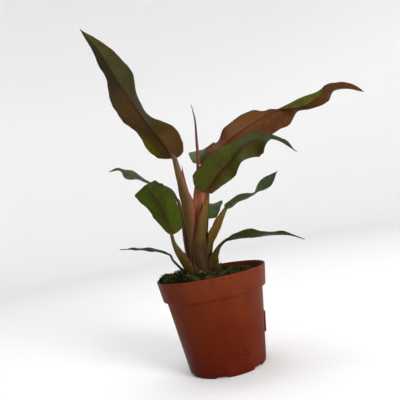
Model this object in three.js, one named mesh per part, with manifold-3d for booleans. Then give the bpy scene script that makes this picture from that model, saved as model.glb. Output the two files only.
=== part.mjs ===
import * as THREE from 'three';
import { mergeVertices } from 'three/addons/utils/BufferGeometryUtils.js';
import Module from 'manifold-3d';

// Orange marmalade philodendron, a young plant in a plastic nursery pot.
// Millimetres, +Z up. The origin is the middle of the pot's underside, and -Y is the front.

// Pot
const potHeight = 120;
const rimRadius = 70;
const collarHeight = 26;
const collarFootRadius = 66;
const wallTopRadius = 62;
const wallFootRadius = 49;
const wallThickness = 1.8;
const floorUnderside = 3;
const floorTop = 5;
const footRingOuter = 47.6;
const footRingInner = 43.6;
const restingPadRadius = 14;
const potSegments = 56;
const drainSlotCount = 6;
const drainSlotWidth = 15;
const drainSlotHeight = 2.6;
const firstDrainSlotTurn = -102;
const labelPanel = { width: 34, height: 25, proud: 1.8, middle: 46, turn: 8 };

// Soil, moss and the short stem
const clearance = 0.35;
const soilTop = 104;
const mossFoot = 104.3;
const mossRings = 8;
const mossSegments = 36;
const mossSeed = 7;
const mossRoughness = 1.6;
const crownPlace = { x: -12, y: 0 };
const crownSegments = 20;

// Leaf blades
const bladeThickness = 0.8;
const leastHalfWidth = 0.5;
const lobeShare = 0.8;
const lobeFade = 0.1;
const midribHeight = 1.2;
const bladeBase = 0.05;
const bladeOutline = [0.80, 0.97, 1.00, 0.97, 0.90, 0.77, 0.57, 0.28, 0.0];
const veinLean = [0, 12, 18, 22, 25];
const acrossPlaces = [-1, -0.72, -0.42, -0.1, 0, 0.1, 0.42, 0.72, 1];
const rowsOfLongBlade = 20;
const rowsOfShortBlade = 13;
const longBladeFrom = 120;
const rowCrowding = 0.6;
const curveSteps = 10;
const tangentReach = 0.004;

// Leaf stalks
const stalkSidePoints = 7;
const stalkRings = 12;
const sheathEdge = 0.7;
const marginReach = 1.6;
const marginDrop = 1.3;

const degree = Math.PI / 180;
const wasm = await Module();
wasm.setup();

// Each leaf: the midrib's points, the way its upper face looks along it, the half widths left
// and right of the midrib seen from above with the tip away, and how many degrees each half
// lifts at even places along it. A curl bends a half further towards its margin, an outline of
// its own narrows it in places, and its base is the share of the length where it widens. A lobe
// is how far the left half reaches back past the stalk.
// Its stalk: the middle line, half width, outer depth and hollow at each of its points, and the
// way its round back looks at the foot and at the top. A tongue is the sheath's free tip.
const leaves = {
  tall_left: {
    colour: 0x3c3624,
    rib: [[-19, -6, 272], [-41, -24, 312], [-61, -44, 355], [-78, -65, 400], [-94, -80, 425]],
    face: [[0.1, 0.95, 0.3], [0, 0.95, 0.35], [0, 0.9, 0.45]],
    half: [27, 25],
    foldLeft: [30, 25, 75, 75, 55, 5, 5, 10, 10],
    foldRight: [30, 25, 35, 10, 5, 45, 35, 25, 0],
    wave: { height: 0.8, count: 3, left: 0.1, right: 0.6 },
    stalk: {
      colour: 0x574c3b,
      path: [[-18, -5, 116], [-17, -5, 146], [-15, -6, 177], [-13, -7, 207], [-15, -7, 229],
        [-17, -8, 252], [-18.6, -6.4, 271]],
      half: [7, 5, 6.4, 8.2, 6.4, 4.4, 3.2],
      depth: [4, 4, 4, 4, 3.5, 3, 2.6],
      hollow: [2.4, 2.4, 2.2, 2.2, 1.5, 0, -1.2],
      back: [[-0.3, -0.95, 0], [-0.3, -0.95, 0]],
      tongue: { path: [[-11, -6, 226], [-10, -6, 245], [-10, -5, 262]], half: [2, 1.8, 0.5] },
    },
  },
  tall_right: {
    colour: 0x6a4a2b,
    rib: [[37, 12, 275], [74, 20, 293], [111, 28, 309], [151, 36, 320], [191, 43, 329],
      [230, 48, 333], [261, 50, 322]],
    face: [[-0.1, 0.95, 0.3], [0, 0.95, 0.2], [0, 0.9, 0.2]],
    half: [28, 28],
    outlineRight: [0.8, 0.85, 0.97, 1, 1, 0.96, 0.5, 0.14, 0.58, 0.86, 0.7, 0.48, 0.34, 0.42, 0.44, 0.28, 0],
    foldLeft: [20, 15, 10, 5, 0, 0, 0, 0, 30, 52, 30, 12, 15, 72, 80, 85, 60],
    foldRight: [75, 85, 60, 52, 52, 50, 56, 25, 20, 30, 42, 42, 55, 52, 42, 35, 20],
    curlRight: [0, 0, 0, 0, 0, 0, 0, -160, -190, -200, -210, -190, -90, -20, 0, 0, 0],
    curlEarly: 0.4,
    wave: { height: 0.8, count: 3, left: 0.3, right: 0.8 },
    stalk: {
      colour: 0x774b35,
      path: [[-11, 3, 122], [-9, 4, 150], [-3, 4, 180], [2, 5, 206], [9, 7, 231], [21, 9, 255],
        [36.5, 12, 274.6]],
      half: [6, 7, 8.5, 9.5, 8, 5.5, 3.4],
      depth: [3, 3.5, 4, 4, 4, 3.5, 2.8],
      hollow: [1.5, 2.2, 2.6, 2.6, 2.2, 0.5, -1.2],
      back: [[0.2, -0.97, 0], [0.2, -0.97, 0]],
      tongue: { path: [[13, 7.5, 244], [17, 7, 255], [21, 7, 266]], half: [2, 1.8, 0.5] },
    },
  },
  arching_front: {
    colour: 0x4a4632,
    rib: [[15, -16, 220], [33, -22, 238], [51, -29, 251], [67, -36, 265], [86, -44, 270],
      [106, -54, 263], [123, -66, 244]],
    face: [[-0.3, -0.9, 0.1], [-0.3, -0.9, 0.2], [0.4, -0.5, 0.75]],
    half: [28, 26],
    outlineLeft: [1.05, 1.02, 0.99, 0.94, 0.87, 0.75, 0.55, 0.27, 0],
    baseLeft: 0.03,
    baseRight: 0.03,
    lobeLeft: 5,
    foldLeft: [0, 0, 0, -28, -42, -48, -33, -8, 0],
    foldRight: [60, 45, 34, 42, -5, -5, 45, 45, 50],
    wave: { height: 0.8, count: 3, left: 0.5, right: 0.2 },
    stalk: {
      colour: 0x5a4821,
      path: [[-9, -10, 114], [-9, -10, 142], [-6, -11, 160], [-1, -12, 177], [5, -13, 194],
        [11, -14, 209], [14.4, -15.6, 218.8]],
      half: [8.5, 9, 8, 7, 5.6, 3.8, 2.9],
      depth: [4.5, 4.5, 4.5, 4, 3.6, 3.2, 2.6],
      hollow: [2.5, 2.6, 2.4, 2, 1, -0.4, -1.4],
      back: [[0.2, -0.98, 0], [0.5, -0.87, 0], [0.9, -0.4, 0]],
      tongue: { path: [[1, -11.5, 192], [3.6, -11, 202], [6.6, -11, 212]], half: [1.6, 1.5, 0.5] },
    },
  },
  nodding_left: {
    colour: 0x424f1c,
    rib: [[-39, -24, 176], [-41, -30, 196], [-46, -34, 217], [-55, -30, 234], [-62, -12, 243],
      [-62, 12, 232], [-56, 30, 208]],
    face: [[-0.2, -0.9, 0.2], [-0.2, -0.9, 0.4], [-0.05, 0, 0.9], [-0.1, 0.9, 0.4]],
    half: [22, 20],
    baseLeft: 0.16,
    foldLeft: [-25, -30, -30, -30, -25, -30, -40, -30, -20],
    foldRight: [25, 5, 0, -15, -15, 20, 40, 30, 0],
    wave: { height: 0.6, count: 3, left: 0.2, right: 0.7 },
    stalk: {
      colour: 0x5b533b,
      path: [[-21, -9, 116], [-28, -9.5, 134], [-32, -12, 145], [-36, -15, 156],
        [-38.5, -19, 166], [-39, -23.9, 175.5]],
      half: [6, 7, 6.5, 5, 3, 2.2],
      depth: [3.6, 3.6, 3.4, 3, 2.4, 2],
      hollow: [2, 2.2, 2, 1.2, -0.4, -1],
      back: [[-0.6, -0.8, 0], [-0.6, -0.8, 0]],
    },
  },
  small_left: {
    colour: 0x46553c,
    rib: [[-25, 16, 219], [-42, 26, 238], [-63, 36, 252], [-83, 44, 266], [-99, 49, 277],
      [-115, 52, 278]],
    face: [[0.3, 0.4, 0.8], [0.2, 0.3, 0.8], [0.2, 0.6, 0.6], [0.2, 0.3, 0.9]],
    half: [17, 17],
    foldLeft: [5, 5, -10, -10, -10, -12, -25, 0, 10],
    foldRight: [0, 0, 0, 10, 20, 30, -20, 20, 10],
    wave: { height: 0.5, count: 3, left: 0.2, right: 0.7 },
    stalk: {
      colour: 0x57462c,
      path: [[-19, 7, 118], [-24, 8, 142], [-24, 9, 164], [-23, 10, 184], [-23, 13, 203],
        [-24.6, 15.8, 218]],
      half: [5, 4.6, 4.4, 3.9, 3.3, 2.5],
      depth: [3.4, 3.4, 3.2, 3, 2.6, 2.2],
      hollow: [1.8, 1.6, 1, 0, -0.6, -1],
      back: [[-0.8, 0.6, 0], [-0.8, 0.6, 0]],
    },
  },
  small_back: {
    colour: 0x5e7147,
    rib: [[24, 26, 259], [24, 34, 272], [23, 50, 282], [22, 78, 287], [23, 106, 282],
      [23, 124, 271]],
    face: [[-0.2, -0.9, 0.4], [-0.2, -0.3, 0.9], [-0.2, 0.3, 0.9], [-0.1, 0.5, 0.8]],
    half: [19, 19],
    foldLeft: [10, 10, 10, 10, 10, 10, 10, 10, 10],
    foldRight: [10, 10, 10, 10, 10, 10, 10, 10, 10],
    wave: { height: 1.2, count: 2, left: 0.1, right: 0.6 },
    stalk: {
      colour: 0x4d4a24,
      path: [[-8, 8, 120], [-3, 10, 150], [5, 10.5, 180], [12, 13, 208], [18, 18, 234],
        [23.8, 25.2, 258]],
      half: [4.5, 4, 3.6, 3.2, 2.8, 2.4],
      depth: [3, 3, 2.8, 2.6, 2.3, 2],
      hollow: [1.2, 1, 0.4, -0.2, -0.8, -1],
      back: [[0.1, 0.99, 0], [0.1, 0.99, 0]],
    },
  },
  small_middle: {
    colour: 0x505e3b,
    rib: [[6, 18, 188], [11, 26, 197], [17, 42, 203], [23, 66, 206], [24, 90, 201]],
    face: [[0.2, -0.9, 0.4], [0.1, -0.3, 0.9], [0.1, 0.3, 0.9], [0.1, 0.5, 0.8]],
    half: [17, 17],
    foldLeft: [10, 10, 10, 10, 10, 10, 10, 10, 10],
    foldRight: [10, 10, 10, 10, 10, 10, 10, 10, 10],
    wave: { height: 1.2, count: 2, left: 0.4, right: 0.9 },
    stalk: {
      colour: 0x4b4a26,
      path: [[-5, 6, 118], [-2, 10, 136], [1, 14, 154], [4, 16.5, 171], [5.8, 17.6, 187]],
      half: [4, 3.8, 3.4, 2.8, 2.3],
      depth: [3, 2.8, 2.6, 2.3, 2],
      hollow: [1, 0.8, 0.2, -0.6, -1],
      back: [[0.5, 0.85, 0], [0.5, 0.85, 0]],
    },
  },
  curled_right: {
    colour: 0x485738,
    rib: [[34, 4, 195], [46, 5, 201], [59, 4, 204], [74, 0, 207], [90, -4, 217], [108, -8, 230]],
    face: [[-0.2, -0.2, 0.9], [-0.2, -0.15, 0.9], [-0.2, 0.1, 0.9], [-0.4, 0.8, 0.4],
      [-0.4, 0.8, 0.4]],
    half: [15, 15],
    foldLeft: [10, 10, 20, 10, 10, 0, -10, -10, 0],
    foldRight: [0, 0, 0, 0, 0, 10, 10, 10, 10],
    wave: { height: 0.8, count: 3, left: 0.2, right: 0.7 },
    stalk: {
      colour: 0x463f12,
      path: [[-3, 2, 118], [2, 2, 142], [7, 2, 158], [12, 2, 166], [18, 3, 174], [26, 3, 185],
        [33.3, 4, 194.1]],
      half: [5, 4.8, 5.2, 6.4, 6, 4.4, 2.6],
      depth: [3.4, 3.4, 3.4, 3.2, 3, 2.6, 2.2],
      hollow: [1.8, 1.8, 1.8, 1.6, 0.8, -0.2, -1],
      back: [[0.5, -0.87, 0], [0.5, -0.87, 0]],
      tongue: { path: [[14, 2, 175], [18, 1.6, 182], [21.4, 1.2, 188]], half: [1.6, 1.4, 0.5] },
    },
  },
  low_right: {
    colour: 0x434632,
    rib: [[26, -12, 156], [44, -16, 156], [64, -22, 154], [82, -28, 153], [102, -34, 149],
      [118, -40, 141]],
    face: [[0, -0.1, 1], [0, -0.1, 1], [0.1, 0, 1]],
    half: [17, 17],
    foldLeft: [10, 10, 10, 10, 10, 10, 10, 10, 10],
    foldRight: [10, 10, 10, 10, 10, 10, 10, 10, 10],
    wave: { height: 1.2, count: 3, left: 0.2, right: 0.7 },
    stalk: {
      colour: 0x4a4320,
      path: [[-1, -6, 116], [6, -6, 131], [11, -7, 141], [15, -9, 148], [20, -11, 152.4],
        [24.7, -12, 155.4]],
      half: [4.5, 4.5, 3.4, 2.8, 2.1, 1.8],
      depth: [3, 3, 2.6, 2.2, 1.9, 1.7],
      hollow: [1.4, 1.4, 0.8, 0, -0.6, -0.8],
      back: [[0.8, -0.6, 0], [0.8, -0.6, 0]],
    },
  },
  low_left: {
    colour: 0x333d24,
    rib: [[-47, -4, 151], [-61, -4, 158], [-78, -4, 163], [-96, -4, 167], [-109, -4, 169]],
    face: [[0.3, 0, 1], [0.2, 0, 1], [0, 0, 1]],
    half: [14, 14],
    foldLeft: [10, 15, 15, 15, 15, 15, 15, 15, 15],
    foldRight: [-10, -10, -10, -10, -10, -10, -5, 0, 0],
    wave: { height: 0.8, count: 3, left: 0.2, right: 0.7 },
    stalk: {
      colour: 0x44401f,
      path: [[-25, -2, 117], [-33, -2, 126], [-38, -3, 133], [-42, -4, 139], [-45, -4, 144],
        [-46.2, -4, 149.4]],
      half: [4.5, 3.8, 2, 1.8, 1.7, 1.5],
      depth: [2.6, 2.2, 1.7, 1.6, 1.5, 1.4],
      hollow: [1.2, 0.8, -0.2, -0.5, -0.6, -0.7],
      back: [[-0.6, -0.4, -0.4], [-0.6, -0.4, -0.4]],
    },
  },
};

// The new leaf, still rolled up, stands behind the tall right leaf's sheath.
const rolledLeaf = {
  colour: 0x794f49,
  path: [[-10, 6, 126], [-7, 6.5, 160], [-2, 7, 192], [3, 8.5, 220], [7, 9, 244], [11, 9, 265],
    [14, 9, 290], [17, 9, 318], [16, 9, 339]],
  radius: [2.6, 2.6, 2.6, 2.5, 2.3, 2.1, 1.7, 1.1, 0.4],
  rings: 18,
  sides: 8,
};

// The stalks are fitted one after another, each hollowed where it wraps those before it.
const fittingOrder = ['tall_right', 'tall_left', 'arching_front', 'curled_right', 'small_middle',
  'small_back', 'small_left', 'nodding_left', 'low_right', 'low_left'];

// A smooth value between evenly spaced ones; past either end it runs on straight.
function glide(values, u) {
  const last = values.length - 1;
  const i = Math.min(Math.floor(u * last), last - 1);
  const t = u * last - i;
  const b = values[i];
  const c = values[i + 1];
  const a = i > 0 ? values[i - 1] : 2 * b - c;
  const d = i < last - 1 ? values[i + 2] : 2 * c - b;
  return 0.5 * (2 * b + (c - a) * t + (2 * a - 5 * b + 4 * c - d) * t ** 2
    + (3 * b - a - 3 * c + d) * t ** 3);
}

function smoothCurve(points) {
  const vectors = points.map((p) => new THREE.Vector3(...p));
  return new THREE.CatmullRomCurve3(vectors, false, 'catmullrom', 0.5);
}

// The part of a direction that lies across another, at unit length.
function across(direction, along) {
  return direction.clone().addScaledVector(along, -direction.dot(along)).normalize();
}

// Closed meshes
function solidFrom(points, triangles) {
  const vertProperties = new Float32Array(points.flatMap((p) => [p.x, p.y, p.z]));
  const triVerts = new Uint32Array(triangles.flat());
  return new wasm.Manifold(new wasm.Mesh({ numProp: 3, vertProperties, triVerts }));
}

function solidOf(geometry) {
  const bare = geometry.clone();
  bare.deleteAttribute('normal');
  bare.deleteAttribute('uv');
  const merged = mergeVertices(bare, 1e-4);
  const vertProperties = new Float32Array(merged.attributes.position.array);
  const triVerts = new Uint32Array(merged.index.array);
  return new wasm.Manifold(new wasm.Mesh({ numProp: 3, vertProperties, triVerts }));
}

function geometryOf(solid) {
  const mesh = solid.getMesh();
  const geometry = new THREE.BufferGeometry();
  geometry.setAttribute('position', new THREE.BufferAttribute(new Float32Array(mesh.vertProperties), 3));
  geometry.setIndex(new THREE.BufferAttribute(new Uint32Array(mesh.triVerts), 1));
  geometry.computeVertexNormals();
  return geometry;
}

// The largest body of a cut solid: crumbs left between two neighbours are dropped.
function mainBody(solid) {
  return solid.decompose().reduce((best, body) => (body.volume() > best.volume() ? body : best));
}

function turnedProfile(outline, segments) {
  const points = outline.map(([r, z]) => new THREE.Vector2(r, z));
  const geometry = new THREE.LatheGeometry(points, segments);
  geometry.rotateX(Math.PI / 2);
  return solidOf(geometry);
}

// Rings of points, each with the same number, joined by walls and closed at both ends.
function loft(rings, capTriangles) {
  const size = rings[0].length;
  const triangles = [];
  for (let i = 0; i < rings.length - 1; i += 1) {
    for (let k = 0; k < size; k += 1) {
      const a = i * size + k;
      const b = i * size + (k + 1) % size;
      triangles.push([a, b, b + size], [a, b + size, a + size]);
    }
  }
  const lastRing = (rings.length - 1) * size;
  for (const [a, b, c] of capTriangles) {
    triangles.push([c, b, a], [lastRing + a, lastRing + b, lastRing + c]);
  }
  return solidFrom(rings.flat(), triangles);
}

// Pot
function innerWallRadius(z) {
  const collarFoot = potHeight - collarHeight;
  if (z > collarFoot + wallThickness) {
    const up = (z - collarFoot) / collarHeight;
    return collarFootRadius + (rimRadius - collarFootRadius) * up - wallThickness;
  }
  const up = z / collarFoot;
  return wallFootRadius + (wallTopRadius - wallFootRadius) * up - wallThickness;
}

function potBody() {
  const collarFoot = potHeight - collarHeight;
  const ledge = collarFoot + wallThickness;
  const outline = [
    [0, 0],
    [restingPadRadius, 0],
    [restingPadRadius + 2, floorUnderside],
    [footRingInner - 0.6, floorUnderside],
    [footRingInner, 0],
    [footRingOuter, 0],
    [wallFootRadius, 1.6],
    [wallTopRadius, collarFoot],
    [collarFootRadius - 0.8, collarFoot],
    [collarFootRadius, collarFoot + 0.8],
    [rimRadius - 0.6, potHeight - 2.2],
    [rimRadius, potHeight - 1.4],
    [rimRadius - 0.3, potHeight],
    [innerWallRadius(potHeight) + 0.3, potHeight],
    [innerWallRadius(potHeight - 1), potHeight - 1],
    [innerWallRadius(ledge + 0.1), ledge],
    [innerWallRadius(ledge - 0.1), ledge - 1.4],
    [innerWallRadius(floorTop), floorTop],
    [0, floorTop],
  ];
  return turnedProfile(outline, potSegments);
}

function drainSlot(turn) {
  const slotLength = 14;
  const geometry = new THREE.BoxGeometry(slotLength, drainSlotWidth, 2 * drainSlotHeight);
  geometry.translate(wallFootRadius, 0, 0);
  geometry.rotateZ(turn * degree);
  return solidOf(geometry);
}

// A raised panel for a label, bent round the wall.
function labelPanelSolid() {
  const { width, height, proud, middle, turn } = labelPanel;
  const steps = 6;
  const sunk = wallThickness / 2;
  const rings = [];
  for (let i = 0; i <= steps; i += 1) {
    const angle = turn * degree + (i / steps - 0.5) * (width / innerWallRadius(middle));
    const place = (r, z) => new THREE.Vector3(r * Math.cos(angle), r * Math.sin(angle), z);
    const low = middle - height / 2;
    const high = middle + height / 2;
    const lowRadius = innerWallRadius(low) + wallThickness;
    const highRadius = innerWallRadius(high) + wallThickness;
    rings.push([
      place(lowRadius - sunk, low),
      place(lowRadius + proud, low),
      place(highRadius + proud, high),
      place(highRadius - sunk, high),
    ]);
  }
  return loft(rings.reverse(), [[0, 1, 2], [0, 2, 3]]);
}

function potSolid() {
  let pot = potBody().add(labelPanelSolid());
  for (let i = 0; i < drainSlotCount; i += 1) {
    pot = pot.subtract(drainSlot(firstDrainSlotTurn + i * 360 / drainSlotCount));
  }
  return pot;
}

// Soil and moss
function soilSolid(stem) {
  const ledge = potHeight - collarHeight + wallThickness;
  const outline = [
    [0, floorTop + clearance],
    [innerWallRadius(floorTop) - 1, floorTop + clearance],
    [innerWallRadius(ledge - 0.1) - 1, ledge - 1.4],
    [innerWallRadius(ledge - 0.1) - 0.6, ledge + 0.6],
    [innerWallRadius(ledge + 1.2) - 0.5, ledge + 1.2],
    [innerWallRadius(soilTop) - 0.5, soilTop],
    [0, soilTop],
  ];
  return turnedProfile(outline, potSegments).subtract(stem);
}

// A repeatable draw between 0 and 1.
function seededDraw(seed) {
  let state = seed;
  return () => {
    state = (state * 1103515245 + 12345) % 2147483648;
    return state / 2147483648;
  };
}

// The moss lies high on the left and falls to the right, in lumps.
function mossHeight(x, y) {
  const slope = 117.5 - 0.1 * x - 0.02 * y;
  const r = Math.hypot(x, y) / rimRadius;
  const lumps = 1.3 * Math.sin(x / 6.1 + 1.2) * Math.cos(y / 5.3 + 0.4) + 0.8 * Math.sin(x / 3.1 - y / 3.7);
  return slope - 5 * r ** 6 + lumps;
}

function mossSolid(stems) {
  const draw = seededDraw(mossSeed);
  const points = [new THREE.Vector3(0, 0, mossHeight(0, 0))];
  const triangles = [];
  const edge = innerWallRadius(mossFoot) - 0.5;
  for (let i = 1; i <= mossRings; i += 1) {
    for (let k = 0; k < mossSegments; k += 1) {
      const angle = 2 * Math.PI * k / mossSegments;
      const r = edge * i / mossRings;
      const height = mossHeight(r * Math.cos(angle), r * Math.sin(angle)) + mossRoughness * (draw() - 0.5);
      points.push(new THREE.Vector3(r * Math.cos(angle), r * Math.sin(angle), height));
    }
  }
  for (let k = 0; k < mossSegments; k += 1) {
    const angle = 2 * Math.PI * k / mossSegments;
    points.push(new THREE.Vector3(edge * Math.cos(angle), edge * Math.sin(angle), mossFoot));
  }
  const under = points.length;
  points.push(new THREE.Vector3(0, 0, mossFoot));
  const at = (i, k) => 1 + (i - 1) * mossSegments + k % mossSegments;
  for (let k = 0; k < mossSegments; k += 1) {
    triangles.push([0, at(1, k), at(1, k + 1)]);
    for (let i = 1; i <= mossRings; i += 1) {
      triangles.push([at(i, k), at(i + 1, k), at(i + 1, k + 1)], [at(i, k), at(i + 1, k + 1), at(i, k + 1)]);
    }
    triangles.push([under, at(mossRings + 1, k + 1), at(mossRings + 1, k)]);
  }
  let moss = solidFrom(points, triangles);
  for (const stem of stems) {
    moss = moss.subtract(stem);
  }
  return mainBody(moss);
}

// The short stem that all the stalks grow from, with the stub of an old sheath.
function crownSolid(grow) {
  const outline = [
    [0, 92 - grow],
    [7 + grow, 92 - grow],
    [9 + grow, 95],
    [10 + grow, 104],
    [12 + grow, 112],
    [12.5 + grow, 118],
    [10 + grow, 123 + grow],
    [5 + grow, 126 + grow],
    [0, 127 + grow],
  ];
  const stem = turnedProfile(outline, crownSegments).translate([crownPlace.x, crownPlace.y, 0]);
  const stub = tongueSolid({
    path: [[-4, -1, 112], [6, -1, 120], [12, 0, 129], [14.5, 0, 137]],
    half: [3, 3, 2.5, 0.8],
  }, [0.5, 0, -0.85], grow);
  return stem.add(stub);
}

// Stalks
// The middle, sideways and backwards directions at a place along a curve; a grown piece also
// starts earlier and ends later.
function stalkFrame(curve, back, t, grow) {
  const along = curve.getTangent(t);
  const stretch = t === 0 ? -grow : grow * Math.floor(t);
  const middle = curve.getPoint(t).addScaledVector(along, stretch);
  const backwards = across(back.getPoint(t), along);
  const side = new THREE.Vector3().crossVectors(backwards, along);
  return { middle, side, backwards };
}

// A crescent: a round back, and an inner face that is hollow low down and bulges near the top.
function stalkRing({ middle, side, backwards }, half, depth, hollow, grow) {
  const place = (x, y) => middle.clone().addScaledVector(side, x).addScaledVector(backwards, y);
  const outer = [];
  const inner = [];
  for (let k = 0; k < stalkSidePoints; k += 1) {
    const angle = Math.PI * k / (stalkSidePoints - 1);
    const atMargin = k % (stalkSidePoints - 1) === 0;
    const wide = half + (atMargin ? marginReach : 1) * grow;
    const drop = atMargin ? marginDrop * grow : 0;
    outer.push(place(wide * Math.cos(angle), (depth + grow) * Math.sin(angle) - drop));
    const reach = (half - sheathEdge - grow) * Math.cos(angle);
    inner.push(place(reach, hollow * Math.sin(angle) - sheathEdge - marginDrop * grow));
  }
  return [...outer, ...inner.reverse()];
}

function stalkCap() {
  const size = 2 * stalkSidePoints;
  const triangles = [];
  for (let k = 0; k < stalkSidePoints - 1; k += 1) {
    triangles.push([k, k + 1, size - 2 - k], [k, size - 2 - k, size - 1 - k]);
  }
  return triangles;
}

function stalkSolid(stalk, grow) {
  const curve = smoothCurve(stalk.path);
  const back = smoothCurve(stalk.back);
  const rings = [];
  for (let i = 0; i <= stalkRings; i += 1) {
    const t = i / stalkRings;
    const frame = stalkFrame(curve, back, t, grow);
    rings.push(stalkRing(frame, glide(stalk.half, t), glide(stalk.depth, t), glide(stalk.hollow, t), grow));
  }
  const body = loft(rings, stalkCap());
  return stalk.tongue ? body.add(tongueSolid(stalk.tongue, stalk.back[0], grow)) : body;
}

// A thin flat tongue along a path, narrowing to its tip.
function tongueSolid({ path, half }, back, grow) {
  const curve = smoothCurve(path);
  const facing = smoothCurve([back, back]);
  const steps = 5;
  const rings = [];
  for (let i = 0; i <= steps; i += 1) {
    const t = i / steps;
    const { middle, side, backwards } = stalkFrame(curve, facing, t, grow);
    const reach = glide(half, t) + grow;
    const thick = bladeThickness / 2 + grow;
    const corners = [[reach, -thick], [reach, thick], [-reach, thick], [-reach, -thick]];
    rings.push(corners.map(([x, y]) => (
      middle.clone().addScaledVector(side, x).addScaledVector(backwards, y))));
  }
  return loft(rings, [[0, 1, 2], [0, 2, 3]]);
}

function rolledLeafSolid(grow) {
  const curve = smoothCurve(rolledLeaf.path);
  const back = smoothCurve([[0, -1, 0], [0, -1, 0]]);
  const rings = [];
  for (let i = 0; i <= rolledLeaf.rings; i += 1) {
    const t = i / rolledLeaf.rings;
    const { middle, side, backwards } = stalkFrame(curve, back, t, grow);
    const radius = glide(rolledLeaf.radius, t) + grow;
    const ring = [];
    for (let k = 0; k < rolledLeaf.sides; k += 1) {
      const angle = 2 * Math.PI * k / rolledLeaf.sides;
      ring.push(middle.clone().addScaledVector(side, radius * Math.cos(angle))
        .addScaledVector(backwards, radius * Math.sin(angle)));
    }
    rings.push(ring);
  }
  const cap = [];
  for (let k = 1; k < rolledLeaf.sides - 1; k += 1) {
    cap.push([0, k, k + 1]);
  }
  return loft(rings, cap);
}

// Blades
function ribFrame(curve, facing, q) {
  const ahead = curve.getPointAt(Math.min(1, q + tangentReach));
  const behind = curve.getPointAt(Math.max(0, q - tangentReach));
  const along = ahead.sub(behind).normalize();
  const normal = across(facing.getPoint(q), along);
  const side = new THREE.Vector3().crossVectors(along, normal);
  return { middle: curve.getPointAt(q), along, normal, side };
}

// A point of the blade's middle surface: q runs from 0 at the stalk to 1 at the tip, and x from
// -1 at the left margin to 1 at the right one.
function bladePoint(leaf, frame, q, x, grow) {
  const right = x >= 0;
  const sign = right ? 1 : -1;
  const s = Math.abs(x);
  const base = (right ? leaf.baseRight : leaf.baseLeft) ?? bladeBase;
  const outline = (right ? leaf.outlineRight : leaf.outlineLeft) ?? bladeOutline;
  const lobe = right ? 0 : leaf.lobeLeft ?? 0;
  const opened = Math.min(1, q / base);
  const opening = lobe ? lobeShare + (1 - lobeShare) * opened : Math.sqrt(opened);
  const shape = glide(outline, q) * opening;
  const back = lobe * Math.sqrt(4 * s * (1 - s)) * Math.max(0, 1 - q / lobeFade) ** 2;
  const width = Math.max(leaf.half[right ? 1 : 0] * shape, leastHalfWidth) + grow;
  const lean = degree * glide(veinLean, q);
  const fold = degree * glide(right ? leaf.foldRight : leaf.foldLeft, q);
  const curlTable = right ? leaf.curlRight : leaf.curlLeft;
  const curl = curlTable ? degree * glide(curlTable, q) : 0;
  const early = leaf.curlEarly ?? 1;
  let outwards = 0;
  let upwards = 0;
  for (let m = 0; m < curveSteps; m += 1) {
    const angle = fold + curl * ((m + 0.5) / curveSteps * s) ** early;
    outwards += Math.cos(angle) / curveSteps;
    upwards += Math.sin(angle) / curveSteps;
  }
  const end = fold + curl * s ** early;
  const { height, count, left, right: rightPhase } = leaf.wave;
  const phase = count * q + (right ? rightPhase : left);
  const lift = height * Math.sin(Math.PI * q) ** 0.7 * s ** 2 * Math.sin(2 * Math.PI * phase);
  return frame.middle.clone()
    .addScaledVector(frame.side, sign * (width * s * Math.cos(lean) * outwards - lift * Math.sin(end)))
    .addScaledVector(frame.normal, width * s * Math.cos(lean) * upwards + lift * Math.cos(end))
    .addScaledVector(frame.along, width * s * Math.sin(lean) - back);
}

// Both faces of a blade are split into the same triangles, so that they nowhere cross.
function bladeSolid(leaf, grow) {
  const curve = smoothCurve(leaf.rib);
  const facing = smoothCurve(leaf.face);
  const rows = curve.getLength() > longBladeFrom ? rowsOfLongBlade : rowsOfShortBlade;
  const columns = acrossPlaces.length;
  const grid = [];
  for (let i = 0; i <= rows; i += 1) {
    const even = i / rows;
    const q = Math.min(1, Math.max(0, even - rowCrowding * Math.sin(2 * Math.PI * even) / (2 * Math.PI)));
    const frame = ribFrame(curve, facing, q);
    if (i === 0) frame.middle.addScaledVector(frame.along, -grow);
    grid.push(acrossPlaces.map((x) => bladePoint(leaf, frame, q, x, grow)));
  }
  const upper = [];
  const lower = [];
  for (let i = 0; i <= rows; i += 1) {
    for (let j = 0; j < columns; j += 1) {
      const outwards = grid[i][Math.min(columns - 1, j + 1)].clone().sub(grid[i][Math.max(0, j - 1)]);
      const onwards = grid[Math.min(rows, i + 1)][j].clone().sub(grid[Math.max(0, i - 1)][j]);
      const normal = outwards.cross(onwards).normalize();
      const rise = bladeThickness / 2 + grow;
      const ridge = acrossPlaces[j] === 0 ? midribHeight * (1 - i / rows) : 0;
      upper.push(grid[i][j].clone().addScaledVector(normal, rise));
      lower.push(grid[i][j].clone().addScaledVector(normal, -rise - ridge));
    }
  }
  const count = upper.length;
  const at = (i, j) => i * columns + j;
  const triangles = [];
  for (let i = 0; i < rows; i += 1) {
    for (let j = 0; j < columns - 1; j += 1) {
      const [a, b, c, d] = [at(i, j), at(i, j + 1), at(i + 1, j + 1), at(i + 1, j)];
      triangles.push([a, b, c], [a, c, d]);
      triangles.push([count + c, count + b, count + a], [count + d, count + c, count + a]);
    }
  }
  const edge = [];
  for (let j = 0; j < columns - 1; j += 1) edge.push(at(0, j));
  for (let i = 0; i < rows; i += 1) edge.push(at(i, columns - 1));
  for (let j = columns - 1; j > 0; j -= 1) edge.push(at(rows, j));
  for (let i = rows; i > 0; i -= 1) edge.push(at(i, 0));
  edge.forEach((a, n) => {
    const b = edge[(n + 1) % edge.length];
    triangles.push([a, count + a, count + b], [a, count + b, b]);
  });
  return solidFrom([...upper, ...lower], triangles);
}

// Assembly
const group = new THREE.Group();

function place(name, solid, colour, roughness) {
  const material = new THREE.MeshStandardMaterial({ color: colour, roughness, metalness: 0 });
  const mesh = new THREE.Mesh(geometryOf(solid), material);
  mesh.name = name;
  group.add(mesh);
}

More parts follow.
